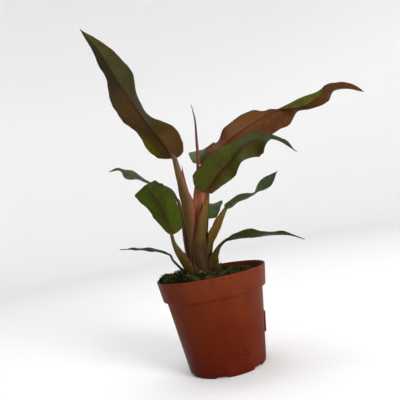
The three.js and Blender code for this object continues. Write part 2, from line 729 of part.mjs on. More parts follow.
const grownCrown = crownSolid(clearance);
const grownParts = [grownCrown, rolledLeafSolid(clearance)];

place('pot', potSolid(), 0x66271a, 0.5);
place('soil', soilSolid(grownCrown), 0x2b1d14, 0.95);
place('crown', crownSolid(0), 0x40331d, 0.7);
place('rolled_leaf', mainBody(rolledLeafSolid(0).subtract(grownCrown)), rolledLeaf.colour, 0.45);

for (const name of fittingOrder) {
  const leaf = leaves[name];
  let stalk = stalkSolid(leaf.stalk, 0).subtract(bladeSolid(leaf, clearance));
  for (const neighbour of grownParts) {
    stalk = stalk.subtract(neighbour);
  }
  place(`stalk_${name}`, mainBody(stalk), leaf.stalk.colour, 0.5);
  place(`blade_${name}`, bladeSolid(leaf, 0), leaf.colour, 0.4);
  grownParts.push(stalkSolid(leaf.stalk, clearance));
}

place('moss', mossSolid(grownParts), 0x1f2a12, 0.95);

export default group;
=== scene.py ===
import bpy
import numpy as np
from mathutils import Matrix, Vector


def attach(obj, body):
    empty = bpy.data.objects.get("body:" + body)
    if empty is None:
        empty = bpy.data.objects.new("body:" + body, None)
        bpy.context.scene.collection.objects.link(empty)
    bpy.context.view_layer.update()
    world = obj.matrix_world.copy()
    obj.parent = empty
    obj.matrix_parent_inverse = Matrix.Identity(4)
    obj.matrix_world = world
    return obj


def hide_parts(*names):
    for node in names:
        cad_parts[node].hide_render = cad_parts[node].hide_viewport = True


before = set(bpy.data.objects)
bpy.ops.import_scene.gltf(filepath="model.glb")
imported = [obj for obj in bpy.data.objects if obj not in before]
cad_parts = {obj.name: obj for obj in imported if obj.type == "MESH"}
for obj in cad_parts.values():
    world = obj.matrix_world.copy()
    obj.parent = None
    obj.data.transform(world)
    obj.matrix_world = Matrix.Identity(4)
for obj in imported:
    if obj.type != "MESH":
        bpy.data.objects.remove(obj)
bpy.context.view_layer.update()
print("frame loaded with", len(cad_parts), "nodes")

mm = 0.001
degree = np.pi / 180


# A smooth value between evenly spaced ones: a uniform cubic through them, run on straight past the ends.
def glide(values, u):
    values = np.asarray(values, float)
    last = len(values) - 1
    before, after = 2 * values[0] - values[1], 2 * values[-1] - values[-2]
    padded = np.concatenate([[before], values, [after]])
    place = np.asarray(u, float) * last
    i = np.clip(np.floor(place).astype(int), 0, last - 1)
    t = place - i
    if values.ndim > 1:
        t = t[..., None]
    a, b, c, d = padded[i], padded[i + 1], padded[i + 2], padded[i + 3]
    square, cube = 2 * a - 5 * b + 4 * c - d, 3 * b - a - 3 * c + d
    return 0.5 * (2 * b + (c - a) * t + square * t ** 2 + cube * t ** 3)


def unit(v):
    return v / np.linalg.norm(v, axis=-1, keepdims=True)


# The part of a direction that lies across another, at unit length.
def across(direction, along):
    return unit(direction - (direction * along).sum(-1, keepdims=True) * along)


# A path in millimetres at places t from 0 to 1: its points in metres and the way along it.
def follow(path, t):
    path, near = np.array(path, float) * mm, 0.002
    return glide(path, t), unit(glide(path, t + near) - glide(path, t - near))


# Points off each place of a middle line: by x along one direction and by y along another.
def ringsRound(middle, x, side, y, up):
    return middle[:, None] + x[..., None] * side[:, None] + y[..., None] * up[:, None]


# Angles at even places round a circle, as one row.
def circle(count):
    return np.linspace(0, 2 * np.pi, count, endpoint=False)[None, :]


# Points at a radius, an angle and a height.
def polarPoints(radius, angle, height):
    return np.stack(np.broadcast_arrays(radius * np.cos(angle), radius * np.sin(angle), height), -1)


# 0 below the first value, 1 above the second, and a smooth rise between them.
def rise(low, high, value):
    t = np.clip((value - low) / (high - low), 0, 1)
    return t * t * (3 - 2 * t)


# Soft random relief: the sum of flat waves in seeded directions, each of its own length.
def ripple(x, y, seed, lengths):
    draw = np.random.default_rng(seed)
    total = np.zeros(np.broadcast(x, y).shape)
    for length in lengths:
        turn, phase = draw.uniform(0, 2 * np.pi, 2)
        total += np.sin((x * np.cos(turn) + y * np.sin(turn)) * 2 * np.pi / length + phase)
    return total / len(lengths) ** 0.5


# A closed shell from rings of points: walls between the rings, and a fan over a middle point at each end.
# A flat shell's ends are closed with rungs instead, each from a point to the one on the other face.
# Its faces are turned over if they enclose a negative volume, so they always look outwards.
def skin(rings, flat=False, **marks):
    count, size = rings.shape[:2]
    at = np.arange(count * size).reshape(count, size)
    turned = np.roll(at, -1, axis=1)
    walls = np.stack([at[:-1], turned[:-1], turned[1:], at[1:]], -1).reshape(-1, 4)
    points = rings.reshape(-1, 3)
    if flat:
        k = np.arange(1, size // 2)
        rungs = np.stack([k - 1, k, size - k, (size - k + 1) % size], -1)
        corners = np.array([[0, 1, size - 1], [size // 2 - 1, size // 2, size // 2 + 1]])
        walls = np.concatenate([walls, at[0][rungs[1:, ::-1]], at[-1][rungs[1:]]])
        fans = np.concatenate([at[0][corners[:, ::-1]], at[-1][corners]])
    else:
        first, last = np.full(size, count * size), np.full(size, count * size + 1)
        fans = [np.stack([first, turned[0], at[0]], -1), np.stack([last, at[-1], turned[-1]], -1)]
        fans = np.concatenate(fans)
        points = np.concatenate([points, rings[:1].mean(1), rings[-1:].mean(1)])
    triangles = np.concatenate([walls[:, :3], walls[:, [0, 2, 3]], fans])
    a, b, c = (points[triangles[:, k]] - points[0] for k in range(3))
    if (a * np.cross(b, c)).sum() < 0:
        walls, fans = walls[:, ::-1], fans[:, ::-1]
    spread = {}
    for name, mark in marks.items():
        mark = np.broadcast_to(mark, (count, size))
        middles = [] if flat else [mark[0].mean(), mark[-1].mean()]
        spread[name] = np.concatenate([mark.ravel(), middles])
    return {"points": points, "faces": [walls, fans], "marks": spread}


def addObject(name, data):
    thing = bpy.data.objects.new(name, data)
    bpy.context.scene.collection.objects.link(thing)
    return thing


# One object from closed shells, with their marks as attributes of its points.
def makePiece(name, shells, material, replaced=()):
    points = np.concatenate([shell["points"] for shell in shells])
    corners, sizes, start = [], [], 0
    for shell in shells:
        for faces in shell["faces"]:
            corners.append((faces + start).ravel())
            sizes.append(np.full(len(faces), faces.shape[1]))
        start += len(shell["points"])
    corners, sizes = np.concatenate(corners), np.concatenate(sizes)
    mesh = bpy.data.meshes.new(name)
    mesh.vertices.add(len(points))
    mesh.vertices.foreach_set("co", points.astype(np.float32).ravel())
    mesh.loops.add(len(corners))
    mesh.loops.foreach_set("vertex_index", corners.astype(np.int32))
    mesh.polygons.add(len(sizes))
    mesh.polygons.foreach_set("loop_start", (np.cumsum(sizes) - sizes).astype(np.int32))
    mesh.update(calc_edges=True)
    mesh.polygons.foreach_set("use_smooth", np.ones(len(sizes), bool))
    for key in shells[0]["marks"]:
        values = np.concatenate([shell["marks"][key] for shell in shells])
        mesh.attributes.new(key, "FLOAT", "POINT").data.foreach_set("value", values.astype(np.float32))
    mesh.materials.append(material)
    piece = addObject(name, mesh)
    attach(piece, "root")
    if replaced:
        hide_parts(*replaced)


# A colour given as it has to look on a screen, 0 to 255, turned to the linear value that the shader takes.
def paint(red, green, blue):
    c = np.array([red, green, blue]) / 255
    linear = np.where(c <= 0.04045, c / 12.92, ((c + 0.055) / 1.055) ** 2.4)
    return (*np.clip((linear - paintFit["sheen"]) * paintFit["lift"], 0.001, 0.9), 1)


# What gloss adds to a look under this light, and the share of the rest that the paint itself has to give.
paintFit = {"sheen": 0.010, "lift": 0.5}


def newMaterial(name, roughness, gloss):
    material = bpy.data.materials.new(name)
    material.use_nodes = True
    shader = material.node_tree.nodes["Principled BSDF"]
    shader.inputs["Roughness"].default_value = roughness
    shader.inputs["Specular IOR Level"].default_value = gloss
    return material, material.node_tree, shader


# A node with its inputs set or linked. Its tree is the one that a linked socket belongs to, or is given.
def addNode(kind, inputs, tree=None, **settings):
    linked = (value.id_data for value in inputs.values() if isinstance(value, bpy.types.NodeSocket))
    tree = tree or next(linked)
    node = tree.nodes.new(kind)
    for key, value in settings.items():
        setattr(node, key, value)
    for socket, value in inputs.items():
        if isinstance(value, bpy.types.NodeSocket):
            tree.links.new(value, node.inputs[socket])
        else:
            node.inputs[socket].default_value = value
    return node


# What makePiece stored for each point under a name.
def mark(tree, name):
    return addNode("ShaderNodeAttribute", {}, tree, attribute_name=name).outputs["Fac"]


# The result of a sum or a comparison of values and sockets.
def reckon(operation, *values):
    return addNode("ShaderNodeMath", dict(enumerate(values)), operation=operation).outputs[0]


# A value's run from low to high, eased into one from toLow to toHigh.
def spread(value, low, high, toLow=0.0, toHigh=1.0):
    sockets = {"Value": value, "From Min": low, "From Max": high, "To Min": toLow, "To Max": toHigh}
    return addNode("ShaderNodeMapRange", sockets, interpolation_type="SMOOTHSTEP").outputs["Result"]


def blend(factor, a, b):
    return addNode("ShaderNodeMix", {0: factor, 6: a, 7: b}, data_type="RGBA").outputs[2]


# A colour with others laid over it, each by a value spread between two shares.
def layered(colour, *layers):
    for value, ends, over in layers:
        colour = blend(spread(value, *ends), colour, over)
    return colour


# Soft noise from 0 to 1, with so many blots to a metre.
def speckle(place, scale, detail=3.0):
    sockets = {"Vector": place, "Scale": scale, "Detail": detail, "Roughness": 0.55}
    return addNode("ShaderNodeTexNoise", sockets).outputs["Fac"]


def objectPlace(tree, stretch=(1, 1, 1)):
    place = addNode("ShaderNodeTexCoord", {}, tree).outputs["Object"]
    return addNode("ShaderNodeMapping", {"Vector": place, "Scale": stretch}).outputs["Vector"]


# Colours at even places from 0 to 1 along a value, eased between.
def gradient(value, colours):
    node = addNode("ShaderNodeValToRGB", {"Fac": value})
    stops = node.color_ramp
    stops.interpolation = "EASE"
    last = len(colours) - 1
    for k in range(1, last):
        stops.elements.new(k / last)
    for stop, colour in zip(stops.elements, colours):
        stop.color = paint(*colour)
    return node.outputs["Color"]


# Gives a shader its colour, and a fine relief of a depth in millimetres.
def dress(shader, colour, relief, strength, depth):
    bump = addNode("ShaderNodeBump", {"Height": relief, "Strength": strength, "Distance": depth * mm})
    shader.id_data.links.new(bump.outputs["Normal"], shader.inputs["Normal"])
    shader.id_data.links.new(colour, shader.inputs["Base Color"])


# Millimetres, and degrees for the folds. Each leaf: the midrib's points, the way its upper face looks
# along it, the half widths left and right of the midrib seen from above with the tip away, and how many
# degrees each half lifts at even places along it. A curl bends a half further towards its margin, a base
# is the share of the length where a half widens, and a lobe is how far a half reaches back past the stalk.
# The wave: its height, how many there are, and where it starts on the left and on the right half.
# A stalk's rows: a point of its middle line, then the half width, outer depth and hollow there. Its back:
# the way its round side looks, from the foot to the top. A tongue is the sheath's free tip: rows of a point
# and a half width. Colours run from the stalk to the tip. A patch or a warm blot is a colour and its
# places, each a place along, a place across, and how far it reaches along and across.
leaves = {
    "tallLeft": {
        "slots": ("blade_bronze", "stalk_red"),
        "rib": [[-19, -6, 272], [-41, -24, 312], [-61, -44, 355], [-78, -65, 400], [-94, -80, 425]],
        "face": [[0.1, 0.95, 0.3], [0, 0.95, 0.35], [0, 0.9, 0.45]], "half": [27, 25], "baseLeft": 0.03,
        "lobeLeft": 4, "foldLeft": [30, 25, 75, 75, 55, 5, 5, 10, 10],
        "foldRight": [30, 25, 35, 10, 5, 45, 35, 25, 0], "wave": (0.8, 3, 0.1, 0.6), "gloss": 0.018,
        "upper": [(66, 74, 30), (58, 68, 34), (54, 64, 34), (52, 56, 34)],
        "under": [(94, 68, 38), (68, 66, 40), (82, 78, 52), (88, 84, 54)],
        "underRight": [(86, 74, 36), (92, 68, 44), (72, 66, 48), (76, 72, 50)],
        "ribColours": ((70, 60, 36), (72, 40, 32)), "ribHighlight": (104, 84, 70), "ribWide": 2.8,
        "veinColour": (92, 80, 50), "margin": (58, 52, 24),
        "patch": [(118, 110, 26), (0.15, 0.84, 0.1, 0.22)],
        "warm": [(88, 64, 32), (0.08, -0.6, 0.12, 0.5)],
        "stalk": {
            "rows": [(-18, -5, 116, 7, 4, 2.4), (-17, -5, 146, 5, 4, 2.4), (-15, -6, 177, 6.4, 4, 2.2),
                     (-13, -7, 207, 8.2, 4, 2.2), (-15, -7, 229, 6.4, 3.5, 1.5),
                     (-17, -8, 252, 4.4, 3, 0), (-18.6, -6.4, 271, 3.2, 2.6, -1.2)],
            "back": [[-0.3, -0.95, 0], [-0.3, -0.95, 0]],
            "tongue": [(-13, -6, 222, 3.4), (-12.4, -6, 243, 2.8), (-10.6, -5, 262, 0.5)],
            "colours": [(98, 68, 42), (106, 80, 42), (110, 92, 50), (106, 90, 54), (112, 88, 66)],
            "flank": [(100, 60, 42), (120, 74, 50), (140, 86, 64), (132, 88, 66), (124, 88, 72)],
            "inside": (140, 74, 56), "light": (158, 122, 88), "edge": (176, 68, 72),
        },
    },
    "tallRight": {
        "slots": ("blade_copper", "stalk_red"),
        "rib": [[37, 12, 275], [74, 20, 293], [111, 28, 309], [151, 36, 320], [191, 43, 329],
                [230, 48, 333], [261, 50, 322]],
        "face": [[-0.1, 0.95, 0.3], [0, 0.95, 0.2], [0, 0.9, 0.2]], "half": [28, 28],
        "outlineRight": [0.8, 0.9, 0.99, 0.98, 0.9, 0.68, 0.28, 0.18, 0.58, 0.86, 0.7, 0.48, 0.34, 0.42,
                         0.44, 0.28, 0],
        "lobeRight": 13, "foldLeft": [20, 15, 10, 5, 0, 0, 0, 0, 30, 52, 30, 12, 15, 72, 80, 85, 60],
        "foldRight": [75, 85, 62, 55, 50, 44, 42, 30, 20, 30, 42, 42, 55, 52, 42, 35, 20],
        "curlRight": [0, 0, 0, 0, 0, 0, 0, -160, -190, -200, -210, -190, -90, -20, 0, 0, 0],
        "curlEarly": 0.4, "wave": (0.8, 3, 0.3, 0.8),
        "upper": [(104, 92, 38), (88, 90, 34), (92, 96, 34), (70, 76, 32)],
        "under": [(116, 62, 34), (94, 56, 34), (96, 60, 38), (98, 62, 46)],
        "underRight": [(108, 62, 34), (106, 72, 44), (92, 60, 40), (98, 62, 44)],
        "ribColours": ((96, 74, 38), (90, 44, 36)), "ribHighlight": (128, 86, 58), "margin": (110, 66, 40),
        "patch": [(132, 86, 46), (0.2, 0.55, 0.1, 0.5), (0.28, 0.3, 0.12, 0.4)],
        "warm": [(112, 44, 22), (0.03, 0.0, 0.06, 1.0)],
        "stalk": {
            "rows": [(-11, 3, 122, 6, 3, 1.5), (-9, 4, 150, 7, 3.5, 2.2), (-3, 4, 180, 8.5, 4, 2.6),
                     (2, 5, 206, 9.5, 4, 2.6), (9, 7, 231, 8, 4, 2.2), (21, 9, 255, 5.5, 3.5, 0.5),
                     (36.5, 12, 274.6, 3.4, 2.8, -1.2)],
            "back": [[0.2, -0.97, 0], [0.2, -0.97, 0]],
            "tongue": [(13, 7.5, 244, 2), (17, 7, 255, 1.8), (21, 7, 266, 0.5)],
            # Painted light: these colours are lighter than the sheath's own salmon, standing in for light on
            # a sheath that lies in the shade of the leaves above it.
            "colours": [(130, 80, 46), (180, 110, 70), (206, 130, 88), (204, 128, 88), (140, 70, 48)],
            "flank": [(126, 72, 44), (176, 102, 64), (208, 124, 84), (200, 118, 80), (136, 62, 44)],
            "inside": (170, 90, 62), "light": (224, 164, 120), "edge": (140, 38, 48),
        },
    },
    "archingFront": {
        "slots": ("blade_green", "stalk_olive"),
        "rib": [[15, -16, 220], [33, -22, 238], [51, -29, 251], [67, -36, 265], [86, -44, 270],
                [106, -54, 263], [123, -66, 244]],
        "face": [[-0.3, -0.9, 0.1], [-0.3, -0.9, 0.2], [0.4, -0.5, 0.75]], "half": [28, 26],
        "outlineLeft": [1.05, 1.02, 0.99, 0.94, 0.87, 0.75, 0.55, 0.27, 0], "baseLeft": 0.03,
        "baseRight": 0.03, "lobeLeft": 5, "foldLeft": [0, 0, 0, -28, -42, -48, -33, -8, 0],
        "foldRight": [60, 45, 34, 42, -5, -5, 45, 45, 50], "wave": (0.8, 3, 0.5, 0.2), "gloss": 0.02,
        "upper": [(90, 90, 42), (84, 88, 42), (64, 74, 20), (66, 92, 22)],
        "upperRight": [(118, 106, 60), (100, 90, 50), (84, 84, 36), (66, 90, 24)],
        "under": [(86, 72, 40), (82, 72, 42), (76, 66, 38), (80, 80, 40)],
        "ribColours": ((78, 48, 30), (92, 60, 42)), "ribHighlight": (104, 88, 48), "highlightSide": 1,
        "ribWide": 3.4, "margin": (80, 70, 34),
        "patch": [(88, 96, 42), (0.4, -0.55, 0.12, 0.3), (0.3, 0.6, 0.15, 0.4)],
        "warm": [(92, 76, 48), (0.35, 0.35, 0.3, 0.5)],
        "stalk": {
            "rows": [(-9, -10, 114, 8.5, 4.5, 2.5), (-9, -10, 142, 9, 4.5, 2.6),
                     (-6, -11, 160, 8, 4.5, 2.4), (-1, -12, 177, 7, 4, 2), (5, -13, 194, 5.6, 3.6, 1),
                     (11, -14, 209, 3.8, 3.2, -0.4), (14.4, -15.6, 218.8, 2.9, 2.6, -1.4)],
            "back": [[0.2, -0.98, 0], [0.5, -0.87, 0], [0.9, -0.4, 0]],
            "tongue": [(1, -11.5, 192, 1.6), (3.6, -11, 202, 1.5), (6.6, -11, 212, 0.5)],
            "colours": [(60, 38, 20), (72, 56, 24), (98, 84, 36), (112, 94, 38), (118, 86, 46)],
            "flank": [(62, 34, 22), (76, 48, 26), (104, 72, 38), (132, 88, 46), (136, 84, 48)],
            "inside": (120, 88, 60), "light": (138, 118, 70), "edge": (142, 84, 58),
        },
    },
    "noddingLeft": {
        "slots": ("blade_green", "stalk_olive"),
        "rib": [[-39, -24, 176], [-41, -30, 196], [-46, -34, 217], [-55, -30, 234], [-62, -12, 243],
                [-62, 12, 232], [-56, 30, 208]],
        "face": [[-0.2, -0.9, 0.2], [-0.2, -0.9, 0.4], [-0.05, 0, 0.9], [-0.1, 0.9, 0.4]],
        "half": [22, 20], "baseLeft": 0.16, "foldLeft": [-25, -30, -30, -30, -25, -30, -40, -30, -20],
        "foldRight": [25, 5, 0, -15, -15, 20, 40, 30, 0], "wave": (0.6, 3, 0.2, 0.7), "gloss": 0.0,
        "upper": [(98, 102, 50), (76, 82, 54), (92, 106, 56), (84, 98, 50)],
        "under": [(82, 84, 46), (78, 82, 46), (74, 78, 44), (70, 72, 40)],
        "ribColours": ((76, 60, 34), (88, 72, 44)), "ribHighlight": (88, 86, 46), "ribWide": 1.7,
        "margin": (70, 74, 26), "patch": [(84, 104, 26), (0.18, 0.6, 0.14, 0.3), (0.3, -0.6, 0.2, 0.3)],
        "warm": [(66, 66, 30), (0.3, 0.1, 0.2, 0.4)],
        "stalk": {
            "rows": [(-21, -9, 116, 6, 3.6, 2), (-28, -9.5, 134, 7, 3.6, 2.2),
                     (-32, -12, 145, 6.5, 3.4, 2), (-36, -15, 156, 5, 3, 1.2),
                     (-38.5, -19, 166, 3, 2.4, -0.4), (-39, -23.9, 175.5, 2.2, 2, -1)],
            "back": [[-0.6, -0.8, 0], [-0.6, -0.8, 0]],
            "tongue": [(-26.5, -13, 138, 3.4), (-27.6, -13.5, 146, 2.8), (-29.5, -14, 153, 0.6)],
            "colours": [(70, 60, 24), (84, 74, 30), (98, 90, 38), (106, 96, 48), (104, 88, 56)],
            "flank": [(72, 52, 26), (84, 64, 32), (96, 78, 40), (108, 90, 52), (106, 84, 58)],
            "inside": (104, 88, 50), "light": (140, 132, 76), "edge": (104, 56, 40),
        },
    },
    "smallLeft": {
        "rib": [[-25, 16, 219], [-42, 26, 238], [-63, 36, 252], [-83, 44, 266], [-99, 49, 277],
                [-115, 52, 278]],
        "face": [[0.3, 0.4, 0.8], [0.2, 0.3, 0.8], [0.2, 0.6, 0.6], [0.2, 0.3, 0.9]], "half": [17, 17],
        "foldLeft": [5, 5, -10, -10, -10, -12, -25, 0, 10],
        "foldRight": [0, 0, 0, 10, 20, 30, -20, 20, 10], "wave": (0.5, 3, 0.2, 0.7),
        # Painted light: these colours are lighter than the blade's own, standing in for light on a blade
        # that lies in the shade of others, and for a highlight towards its tip.
        "upper": [(132, 154, 108), (130, 152, 108), (128, 150, 108), (98, 116, 80)],
        "under": [(134, 150, 110), (130, 146, 106), (120, 138, 102), (98, 110, 78)],
        "ribColours": ((96, 100, 66), (108, 104, 74)), "ribHighlight": (124, 134, 104),
        "margin": (104, 114, 80), "patch": [(84, 102, 74), (0.5, 0.3, 0.15, 0.6)],
        "warm": [(108, 112, 76), (0.1, 0, 0.15, 0.8)],
        "stalk": {
            "rows": [(-19, 7, 118, 5, 3.4, 1.8), (-24, 8, 142, 4.6, 3.4, 1.6),
                     (-24, 9, 164, 4.4, 3.2, 1), (-23, 10, 184, 3.9, 3, 0),
                     (-23, 13, 203, 3.3, 2.6, -0.6), (-24.6, 15.8, 218, 2.5, 2.2, -1)],
            "back": [[-0.8, 0.6, 0], [-0.8, 0.6, 0]],
            # Painted light: these colours and the hollow's are much lighter than the stalk's own, so that it
            # looks lit where it stands in the shade of the other stalks.
            "colours": [(150, 124, 70), (146, 124, 68), (140, 128, 66), (136, 128, 74), (124, 118, 74)],
            "flank": [(140, 108, 70), (136, 108, 68), (120, 106, 58), (122, 112, 64), (118, 108, 72)],
            "inside": (156, 124, 72), "light": (140, 128, 84), "edge": (112, 62, 54),
        },
    },
    "smallBack": {
        "rib": [[24, 26, 259], [24, 34, 272], [23, 50, 282], [22, 78, 287], [23, 106, 282],
                [23, 124, 271]],
        "face": [[-0.2, -0.9, 0.4], [-0.2, -0.3, 0.9], [-0.2, 0.3, 0.9], [-0.1, 0.5, 0.8]],
        "half": [23, 19], "wave": (1.2, 2, 0.1, 0.6),
        "upper": [(104, 124, 70), (98, 118, 62), (82, 100, 48), (70, 84, 40)],
        "under": [(98, 104, 72), (94, 102, 70), (88, 98, 66), (80, 84, 56)],
        "ribColours": ((96, 92, 56), (100, 84, 56)), "ribHighlight": (118, 114, 78), "margin": (84, 92, 52),
        "patch": [(108, 132, 92), (0.25, -0.5, 0.15, 0.5)],
        "warm": [(92, 90, 50), (0.04, 0, 0.08, 0.8)],
        "stalk": {
            "rows": [(-8, 8, 120, 4.5, 3, 1.2), (-3, 10, 150, 4, 3, 1), (5, 10.5, 180, 3.6, 2.8, 0.4),
                     (12, 13, 208, 3.2, 2.6, -0.2), (18, 18, 234, 2.8, 2.3, -0.8),
                     (23.8, 25.2, 258, 2.4, 2, -1)],
            "back": [[0.1, 0.99, 0], [0.1, 0.99, 0]],
            "colours": [(58, 48, 26), (66, 58, 32), (76, 72, 42), (86, 84, 52), (92, 92, 58)],
            "inside": (90, 80, 54), "light": (116, 112, 74), "edge": (84, 58, 40),
        },
    },
    "smallMiddle": {
        "rib": [[6, 18, 188], [11, 26, 197], [17, 42, 203], [23, 66, 206], [24, 90, 201]],
        "face": [[0.2, -0.9, 0.4], [0.1, -0.3, 0.9], [0.1, 0.3, 0.9], [0.1, 0.5, 0.8]],
        "half": [17, 17], "wave": (1.2, 2, 0.4, 0.9),
        "upper": [(106, 126, 76), (102, 122, 72), (88, 106, 62), (66, 80, 46)],
        "under": [(86, 94, 64), (82, 92, 62), (78, 88, 60), (70, 76, 50)],
        "ribColours": ((84, 84, 50), (92, 80, 52)), "ribHighlight": (106, 106, 72), "margin": (76, 84, 48),
        "patch": [(98, 116, 82), (0.3, 0.3, 0.15, 0.5)], "warm": [(78, 78, 44), (0.04, 0, 0.08, 0.8)],
        "stalk": {
            "rows": [(-5, 6, 118, 4, 3, 1), (-2, 10, 136, 3.8, 2.8, 0.8), (1, 14, 154, 3.4, 2.6, 0.2),
                     (4, 16.5, 171, 2.8, 2.3, -0.6), (5.8, 17.6, 187, 2.3, 2, -1)],
            "back": [[0.5, 0.85, 0], [0.5, 0.85, 0]],
            "colours": [(58, 50, 26), (64, 58, 32), (72, 70, 40), (78, 78, 46), (84, 86, 54)],
            "inside": (86, 80, 52), "light": (110, 108, 70), "edge": (82, 58, 38),
        },
    },
    "curledRight": {
        "rib": [[34, 4, 195], [46, 5, 201], [59, 4, 204], [74, 0, 207], [90, -4, 217], [108, -8, 230]],
        "face": [[-0.2, -0.2, 0.9], [-0.2, -0.15, 0.9], [-0.2, 0.1, 0.9], [-0.4, 0.8, 0.4],
                 [-0.4, 0.8, 0.4]],
        "half": [15, 15], "foldLeft": [10, 10, 20, 10, 10, 0, -10, -10, 0],
        "foldRight": [0, 0, 0, 0, 0, 10, 10, 10, 10], "wave": (0.8, 3, 0.2, 0.7),
        "upper": [(112, 126, 66), (100, 114, 62), (82, 96, 56), (66, 80, 48)],
        "under": [(100, 108, 70), (86, 98, 64), (72, 86, 58), (60, 74, 50)],
        "ribColours": ((84, 80, 44), (96, 88, 56)), "ribHighlight": (106, 102, 66), "margin": (78, 82, 46),
        "patch": [(98, 112, 76), (0.25, 0.3, 0.15, 0.6)], "warm": [(88, 84, 44), (0.05, 0, 0.1, 0.9)],
        "stalk": {
            "rows": [(-3, 2, 118, 5, 3.4, 1.8), (2, 2, 142, 4.8, 3.4, 1.8), (7, 2, 158, 5.2, 3.4, 1.8),
                     (12, 2, 166, 6.4, 3.2, 1.6), (18, 3, 174, 6, 3, 0.8), (26, 3, 185, 4.4, 2.6, -0.2),
                     (33.3, 4, 194.1, 2.6, 2.2, -1)],
            "back": [[0.5, -0.87, 0], [0.5, -0.87, 0]],
            "tongue": [(14, 2, 175, 1.6), (18, 1.6, 182, 1.4), (21.4, 1.2, 188, 0.5)],
            "colours": [(74, 62, 22), (84, 74, 22), (92, 80, 22), (104, 88, 32), (112, 96, 48)],
            "flank": [(80, 60, 26), (96, 74, 28), (112, 82, 28), (128, 84, 30), (120, 90, 44)],
            "inside": (112, 88, 34), "light": (146, 128, 60), "edge": (170, 86, 34),
        },
    },
    "lowRight": {
        "rib": [[26, -12, 156], [44, -16, 156], [64, -22, 154], [82, -28, 153], [102, -34, 149],
                [118, -40, 141]],
        "face": [[0, -0.1, 1], [0, -0.1, 1], [0.1, 0, 1]], "half": [17, 17],
        "foldLeft": [4, 18, 30, 12, 10, 10, 10, 10, 10],
        "foldRight": [24, 14, 10, 10, 10, 10, 10, 10, 10], "wave": (1.2, 3, 0.2, 0.7),
        "upper": [(78, 90, 38), (66, 80, 32), (58, 68, 28), (60, 64, 30)],
        "under": [(66, 68, 46), (68, 70, 50), (70, 72, 52), (68, 66, 50)],
        "ribColours": ((62, 62, 38), (76, 68, 46)), "ribHighlight": (84, 84, 60), "margin": (62, 60, 36),
        "patch": [(78, 86, 58), (0.4, 0.3, 0.15, 0.5)], "warm": [(60, 52, 30), (0.05, 0, 0.1, 0.9)],
        "stalk": {
            "rows": [(-3, -6, 116, 6.6, 3, 1.4), (4.4, -6, 131, 6.8, 3, 1.4),
                     (10.4, -7, 141, 4.8, 2.6, 0.8), (15, -9, 148, 3.2, 2.2, 0),
                     (20, -11, 152.4, 2.1, 1.9, -0.6), (24.7, -12, 155.4, 1.8, 1.7, -0.8)],
            "back": [[0.4, -0.9, 0], [0.8, -0.6, 0]],
            "colours": [(66, 58, 24), (74, 68, 28), (84, 76, 36), (92, 82, 46), (88, 78, 48)],
            "flank": [(58, 46, 22), (66, 54, 26), (76, 64, 32), (86, 72, 42), (84, 72, 46)],
            "inside": (88, 78, 42), "light": (120, 110, 64), "edge": (96, 64, 36),
        },
    },
    "lowLeft": {
        "rib": [[-47, -4, 151], [-61, -4, 158], [-78, -4, 163], [-96, -4, 167], [-109, -4, 169]],
        "face": [[0.3, 0, 1], [0.2, 0, 1], [0, 0, 1]], "half": [14, 14],
        "foldLeft": [10, 15, 15, 15, 15, 15, 15, 15, 15],
        "foldRight": [-10, -10, -10, -10, -10, -10, -5, 0, 0], "wave": (0.8, 3, 0.2, 0.7),
        "upper": [(56, 62, 38), (60, 68, 42), (62, 72, 46), (62, 68, 44)],
        "under": [(62, 64, 44), (64, 68, 48), (66, 72, 50), (66, 66, 48)],
        "ribColours": ((60, 58, 36), (74, 66, 44)), "ribHighlight": (82, 80, 58), "margin": (60, 58, 34),
        "patch": [(80, 90, 62), (0.45, 0.3, 0.2, 0.5)], "warm": [(56, 50, 30), (0.05, 0, 0.1, 0.9)],
        "stalk": {
            "rows": [(-25, -2, 117, 4.5, 2.6, 1.2), (-33, -2, 126, 3.8, 2.2, 0.8),
                     (-38, -3, 133, 2, 1.7, -0.2), (-42, -4, 139, 1.8, 1.6, -0.5),
                     (-45, -4, 144, 1.7, 1.5, -0.6), (-46.2, -4, 149.4, 1.5, 1.4, -0.7)],
            "back": [[-0.6, -0.4, -0.4], [-0.6, -0.4, -0.4]],
            "colours": [(62, 54, 26), (66, 60, 30), (72, 66, 36), (78, 72, 42), (76, 70, 42)],
            "inside": (78, 72, 44), "light": (104, 98, 62), "edge": (80, 56, 34),
        },
    },
}

bladeForm = {
    "outline": [0.8, 0.97, 1, 0.97, 0.9, 0.77, 0.57, 0.28, 0],  # share of the half width
    "base": 0.05,
    "veinLean": [0, 12, 18, 22, 25],  # degrees forward of square to the midrib
    "fold": [10, 10],
    "leastHalfWidth": 0.5,
    "lobeShare": 0.8, "lobeFade": 0.1,
    "curveSteps": 10,
    "tangentReach": 0.004,
    "rowStep": 0.62, "rowCrowding": 0.75, "halfColumns": 21,
    "thickness": 0.72, "marginThickness": 0.42, "marginRoundness": 14,
    "ridge": 1.2, "ridgeWidth": 1.5, "ridgeAtTip": 0.35, "channel": 0.4, "channelWidth": 1.2,
    "veinSpacing": 6.5, "veinRelief": 0.11, "veinSlant": 0.35, "veinCurve": 0.2, "veinSharpness": 5,
    "quilt": 0.22, "quiltLengths": [17, 23, 31, 41], "quiltAcross": 14,
    "marginStir": 0.012, "fineStir": 0.6,
    "stirWaves": [54, 47, 103, 91],  # radians along the right and left margins, then the finer ones
    "roughness": 0.42, "gloss": 0.03, "veinShow": 0.12, "fineVeins": 5, "ribWide": 1.4, "ribAtTip": 0.3,
    "cloudScale": 38, "mottleScale": 210, "spotScale": 120, "grainScale": 1500,  # noise, to a metre
    "blotchDark": (0.012, 0.013, 0.004, 1), "mottleDark": (0.012, 0.012, 0.005, 1), "tip": (38, 27, 18),
    "waveFade": 0.7, "highlightLineAt": 2.3,
}

for seed, leaf in enumerate(leaves.values(), 11):
    leaf["seed"] = seed


